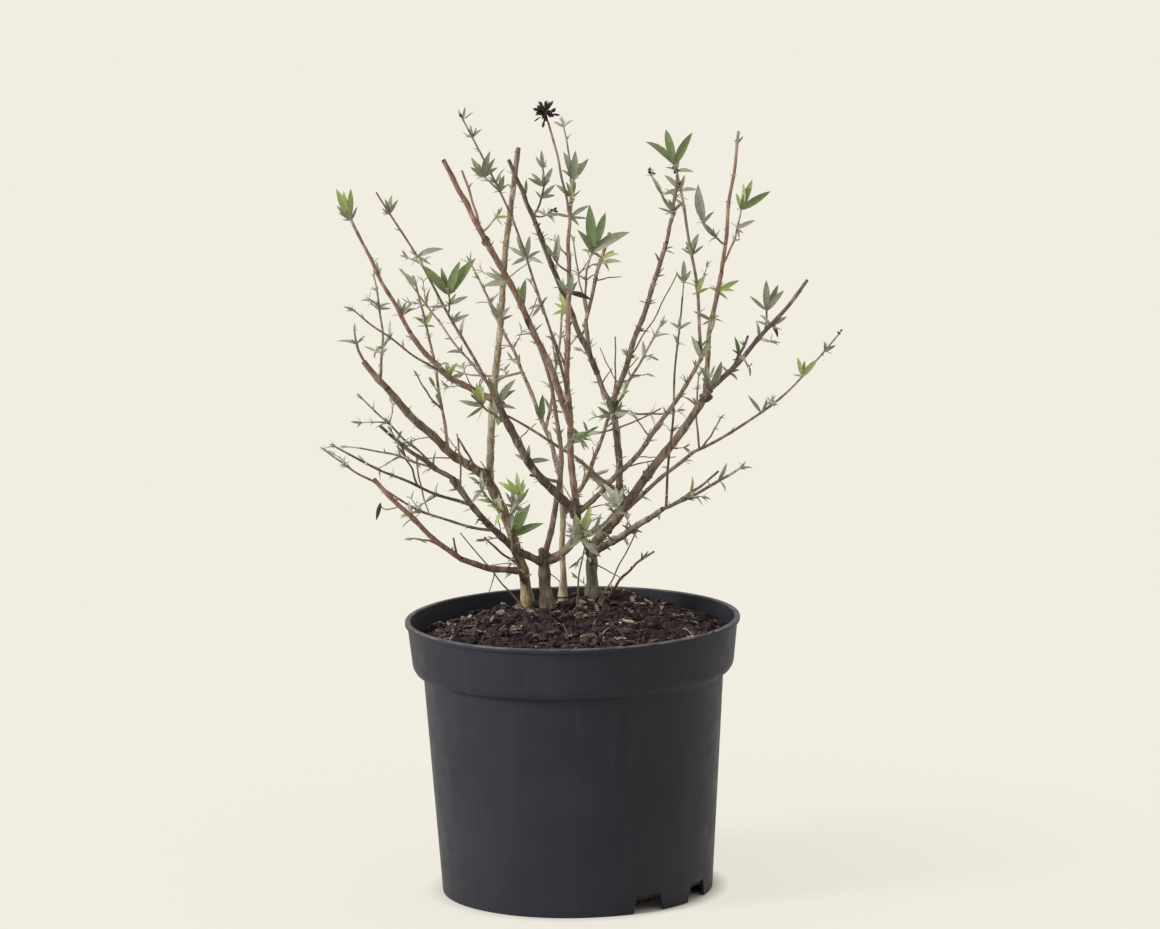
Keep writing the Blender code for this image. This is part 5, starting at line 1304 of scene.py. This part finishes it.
class Skin:
    """A material under construction, with short calls for the nodes that its pattern needs."""

    def __init__(self, name, roughness, specular=0.5):
        self.material = bpy.data.materials.new(name)
        self.material.use_nodes = True
        self.nodes = self.material.node_tree.nodes
        self.links = self.material.node_tree.links
        self.shader = self.nodes["Principled BSDF"]
        self.shader.inputs["Roughness"].default_value = roughness
        self.shader.inputs["Specular IOR Level"].default_value = specular
        self.spot = self.nodes.new("ShaderNodeTexCoord").outputs["Object"]

    def noise(self, scale, detail=4.0, stretch=(1, 1, 1), roughness=0.6):
        mapping = self.nodes.new("ShaderNodeMapping")
        mapping.inputs["Scale"].default_value = stretch
        texture = self.nodes.new("ShaderNodeTexNoise")
        texture.inputs["Scale"].default_value = scale
        texture.inputs["Detail"].default_value = detail
        texture.inputs["Roughness"].default_value = roughness
        self.links.new(self.spot, mapping.inputs["Vector"])
        self.links.new(mapping.outputs["Vector"], texture.inputs["Vector"])
        return texture.outputs["Fac"]

    def ramp(self, factor, stops):
        """Colours or greys by place along 0 to 1."""
        ramp = self.nodes.new("ShaderNodeValToRGB")
        elements = ramp.color_ramp.elements
        while len(elements) < len(stops):
            elements.new(0.5)
        for element, (position, colour) in zip(elements, stops):
            element.position = position
            element.color = (*colour, 1.0)
        self.links.new(factor, ramp.inputs["Fac"])
        return ramp.outputs["Color"]

    def mix(self, factor, first, second, blend="MIX"):
        mix = self.nodes.new("ShaderNodeMix")
        mix.data_type = "RGBA"
        mix.blend_type = blend
        for socket, value in ((mix.inputs[0], factor), (mix.inputs[6], first), (mix.inputs[7], second)):
            if isinstance(value, bpy.types.NodeSocket):
                self.links.new(value, socket)
            elif isinstance(value, tuple):
                socket.default_value = (*value, 1.0)
            else:
                socket.default_value = value
        return mix.outputs[2]

    def height(self, low, high):
        """0 below one height in mm and 1 above another."""
        split = self.nodes.new("ShaderNodeSeparateXYZ")
        span = self.nodes.new("ShaderNodeMapRange")
        span.inputs["From Min"].default_value = low * MM
        span.inputs["From Max"].default_value = high * MM
        self.links.new(self.spot, split.inputs["Vector"])
        self.links.new(split.outputs["Z"], span.inputs["Value"])
        return span.outputs["Result"]

    def colour(self, socket):
        self.links.new(socket, self.shader.inputs["Base Color"])

    def bump(self, factor, strength, distance):
        bump = self.nodes.new("ShaderNodeBump")
        bump.inputs["Strength"].default_value = strength
        bump.inputs["Distance"].default_value = distance * MM
        self.links.new(factor, bump.inputs["Height"])
        self.links.new(bump.outputs["Normal"], self.shader.inputs["Normal"])

    def rough(self, factor, low, high):
        grey = self.ramp(factor, ((0.3, (low,) * 3), (0.7, (high,) * 3)))
        self.links.new(grey, self.shader.inputs["Roughness"])


def tint(colour, factor):
    return tuple(min(c * factor, 1.0) for c in colour)


def bark_skin(name, dark, light, patch, upper=None, turns_at=(270, 330)):
    """Bark with long streaks, paler patches and small flecks. The upper part may have another colour."""
    skin = Skin(name, 0.85, 0.25)
    streaks = skin.noise(420, 6, (1, 1, 0.16), 0.7)
    base = skin.ramp(streaks, ((0.36, linear(dark)), (0.62, linear(light))))
    if upper:
        above = skin.ramp(streaks, ((0.36, linear(upper[0])), (0.62, linear(upper[1]))))
        base = skin.mix(skin.height(*turns_at), base, above)
    patches = skin.ramp(skin.noise(110, 3, (1, 1, 0.4)), ((0.52, (0, 0, 0)), (0.64, (0.75,) * 3)))
    base = skin.mix(patches, base, linear(patch))
    flecks = skin.ramp(skin.noise(900, 2, (1, 1, 0.5)), ((0.3, (0.55,) * 3), (0.48, (1, 1, 1))))
    skin.colour(skin.mix(1.0, base, flecks, "MULTIPLY"))
    skin.bump(skin.noise(700, 5, (1, 1, 0.14)), 0.7, 0.5)
    return skin.material


def leaf_skin(name, colour, sheen=0.15):
    """Felted leaf: a soft mottle over one base colour."""
    skin = Skin(name, 0.72, 0.25)
    base = linear(colour)
    mottle = skin.noise(380, 3)
    skin.colour(skin.ramp(mottle, ((0.35, tint(base, 0.84)), (0.65, tint(base, 1.14)))))
    skin.shader.inputs["Sheen Weight"].default_value = sheen
    skin.bump(skin.noise(1600, 2), 0.25, 0.15)
    return skin.material


def crumb_skin(name, dark, light, roughness=0.95):
    skin = Skin(name, roughness, 0.2)
    skin.colour(skin.ramp(skin.noise(520, 5), ((0.35, linear(dark)), (0.66, linear(light)))))
    skin.bump(skin.noise(1300, 4), 0.8, 0.6)
    return skin.material


def pot_skin():
    """Moulded dark plastic: a faint mottle, dusty streaks, small scuffs, a dull sheen, and a painted highlight along
    the top of the lip.
    """
    skin = Skin("pot_plastic", 0.48, 0.13)
    skin.shader.inputs["Specular Tint"].default_value = (0.88, 0.92, 1.0, 1.0)
    base = skin.ramp(skin.noise(16, 4), ((0.3, linear("25262d")), (0.7, linear("2a2b33"))))
    streaks = skin.ramp(skin.noise(95, 5, (1, 1, 0.07), 0.7), ((0.52, (0, 0, 0)), (0.8, (0.16,) * 3)))
    base = skin.mix(streaks, base, linear("45454c"))
    specks = skin.ramp(skin.noise(420, 2), ((0.72, (0, 0, 0)), (0.8, (0.35,) * 3)))
    base = skin.mix(specks, base, linear("605e60"))
    # Painted highlight: a thin pale line round the top of the lip, broken up by a mottle, stands in for light catching
    # the rim.
    lip_highlight_mottle = skin.ramp(skin.noise(60, 4), ((0.4, (0.15,) * 3), (0.62, (0.75,) * 3)))
    lip = skin.mix(1.0, lip_highlight_mottle, skin.height(POT_HEIGHT - 1.3, POT_HEIGHT - 0.4), "MULTIPLY")
    skin.colour(skin.mix(lip, base, linear("66666b")))
    skin.rough(skin.noise(60, 5), 0.42, 0.58)
    skin.bump(skin.noise(900, 3), 0.1, 0.2)
    return skin.material


def make_materials():
    return {
        "bark_flaking": bark_skin(
            "bark_flaking", "64563f", "a89776", "8c8268", upper=("5a483c", "8d7865"), turns_at=(262, 322)
        ),
        "bark_dark": bark_skin("bark_dark", "3a312c", "6c5f54", "857b70"),
        "bark_mossy": bark_skin("bark_mossy", "504e43", "807d6a", "95927f"),
        "bark_pale": bark_skin(
            "bark_pale", "6c6353", "a1967f", "b5ab93", upper=("57493f", "857263"), turns_at=(440, 560)
        ),
        "bark_red": bark_skin("bark_red", "5f4c43", "95796c", "a99587"),
        "bark_brown": bark_skin("bark_brown", "4e433a", "857363", "9a8b7b"),
        "twig_brown": bark_skin("twig_brown", "574a40", "8a7666", "9d8d7c"),
        "twig_red": bark_skin("twig_red", "614b42", "957767", "a68f80"),
        "twig_dark": bark_skin("twig_dark", "3d3531", "6e5f55", "857a6f"),
        "twig_felt": bark_skin("twig_felt", "6c6b5f", "939281", "a5a595"),
        "cut_end": crumb_skin("cut_end", "352c26", "5e5144"),
        "leaf_dead": leaf_skin("leaf_dead", "3d342e"),
        "leaf_fresh": leaf_skin("leaf_fresh", "8e9a62"),
        "under_fresh": leaf_skin("under_fresh", "989f7a"),
        "leaf_green": leaf_skin("leaf_green", "64734b"),
        "under_green": leaf_skin("under_green", "878f70"),
        "leaf_sage": leaf_skin("leaf_sage", "7c806c"),
        "under_sage": leaf_skin("under_sage", "939586", 0.3),
        "leaf_silver": leaf_skin("leaf_silver", "8c8e80", 0.3),
        "under_silver": leaf_skin("under_silver", "9c9d91", 0.3),
        "pod_dark": crumb_skin("pod_dark", "1e1719", "3d3033", 0.8),
        "pod_brown": crumb_skin("pod_brown", "302524", "574743", 0.8),
        "pot": pot_skin(),
        "soil": crumb_skin("soil", "151011", "41363a"),
        "peat_dark": crumb_skin("peat_dark", "0e0a0b", "2b2325"),
        "peat_brown": crumb_skin("peat_brown", "271e1e", "554645"),
        "chip_dark": crumb_skin("chip_dark", "1e1818", "463a3a"),
        "chip_brown": crumb_skin("chip_brown", "3b302b", "6e5c52"),
        "chip_grey": crumb_skin("chip_grey", "544a42", "8e8275"),
        "chip_pale": crumb_skin("chip_pale", "7d7062", "b5a795"),
        "fibre_brown": crumb_skin("fibre_brown", "3d322c", "6a5a4e"),
        "fibre_pale": crumb_skin("fibre_pale", "7d7264", "aa9f8e"),
        "grain_white": crumb_skin("grain_white", "a3a09b", "cccac5"),
    }


BACKDROP = "f2ede1"
FLOOR_COLOUR = (0.6, 0.59, 0.57)
FLOOR_GLOW = 0.8
FLOOR_SHADE = (0.112, 0.128)
FLOOR_SIZE = 60.0
FLOOR_INNER = 0.16
FLOOR_OUTER = 0.6


def floor_skin():
    """A pale floor that takes soft shade near the pot and runs into the plain backdrop colour further off."""
    material = bpy.data.materials.new("floor")
    material.use_nodes = True
    nodes, links = material.node_tree.nodes, material.node_tree.links
    shader = nodes["Principled BSDF"]
    shader.inputs["Base Color"].default_value = (*FLOOR_COLOUR, 1.0)
    shader.inputs["Roughness"].default_value = 1.0
    shader.inputs["Specular IOR Level"].default_value = 0.0
    glow = nodes.new("ShaderNodeEmission")
    glow.inputs["Color"].default_value = (*linear(BACKDROP), 1.0)
    spot = nodes.new("ShaderNodeTexCoord")
    away = nodes.new("ShaderNodeVectorMath")
    away.operation = "LENGTH"
    span = nodes.new("ShaderNodeMapRange")
    span.interpolation_type = "SMOOTHSTEP"
    span.inputs["From Min"].default_value = FLOOR_INNER
    span.inputs["From Max"].default_value = FLOOR_OUTER
    span.inputs["To Min"].default_value = FLOOR_GLOW
    under = nodes.new("ShaderNodeMapRange")
    under.inputs["From Min"].default_value = FLOOR_SHADE[0]
    under.inputs["From Max"].default_value = FLOOR_SHADE[1]
    share = nodes.new("ShaderNodeMath")
    share.operation = "MULTIPLY"
    mix = nodes.new("ShaderNodeMixShader")
    links.new(spot.outputs["Object"], away.inputs[0])
    links.new(away.outputs["Value"], span.inputs["Value"])
    links.new(away.outputs["Value"], under.inputs["Value"])
    links.new(span.outputs["Result"], share.inputs[0])
    links.new(under.outputs["Result"], share.inputs[1])
    links.new(share.outputs["Value"], mix.inputs[0])
    links.new(shader.outputs["BSDF"], mix.inputs[1])
    links.new(glow.outputs["Emission"], mix.inputs[2])
    links.new(mix.outputs["Shader"], nodes["Material Output"].inputs["Surface"])
    return material


def make_floor():
    shape = bmesh.new()
    bmesh.ops.create_grid(shape, x_segments=1, y_segments=1, size=FLOOR_SIZE / 2)
    mesh = bpy.data.meshes.new("floor")
    shape.to_mesh(mesh)
    shape.free()
    mesh.materials.append(floor_skin())
    floor = bpy.data.objects.new("floor", mesh)
    bpy.context.scene.collection.objects.link(floor)


def make_light(name, place_at, aim, size, power, colour):
    light = bpy.data.lights.new(name, "AREA")
    light.shape = "DISK"
    light.size = size
    light.energy = power
    light.color = colour
    lamp = bpy.data.objects.new(name, light)
    lamp.location = place_at
    lamp.rotation_euler = (aim - lamp.location).to_track_quat("-Z", "Y").to_euler()
    bpy.context.scene.collection.objects.link(lamp)


def make_studio():
    world = bpy.data.worlds.new("studio")
    world.use_nodes = True
    sky = world.node_tree.nodes["Background"]
    sky.inputs["Color"].default_value = (*linear(BACKDROP), 1.0)
    sky.inputs["Strength"].default_value = 1.0
    bpy.context.scene.world = world
    middle = Vector((0, 0, 0.35))
    make_light("key_light", Vector((-3.5, -1.5, 2.3)), middle, 1.4, 200, (1.0, 0.99, 0.97))
    make_light("back_light", Vector((1.8, 2.6, 2.2)), middle, 2.0, 10, (1.0, 0.99, 0.97))
    make_floor()


def make_camera():
    data = bpy.data.cameras.new("camera")
    data.sensor_fit = "HORIZONTAL"
    data.sensor_width = SENSOR_WIDTH
    data.lens = FOCAL_PIXELS * SENSOR_WIDTH / IMAGE_WIDTH
    data.clip_start = 0.1
    data.clip_end = 100.0
    camera = bpy.data.objects.new("camera", data)
    camera.location = CAMERA_PLACE
    aimed = (CAMERA_AIM - CAMERA_PLACE).to_track_quat("-Z", "Y").to_matrix()
    camera.rotation_euler = (aimed @ Matrix.Rotation(math.radians(-CAMERA_ROLL), 3, "Z")).to_euler()
    bpy.context.scene.collection.objects.link(camera)
    bpy.context.scene.camera = camera


bpy.context.scene.view_settings.view_transform = "Standard"
make_camera()
MATERIALS = make_materials()
make_pot()
make_soil()
dress_soil()
Bush().build()
make_studio()
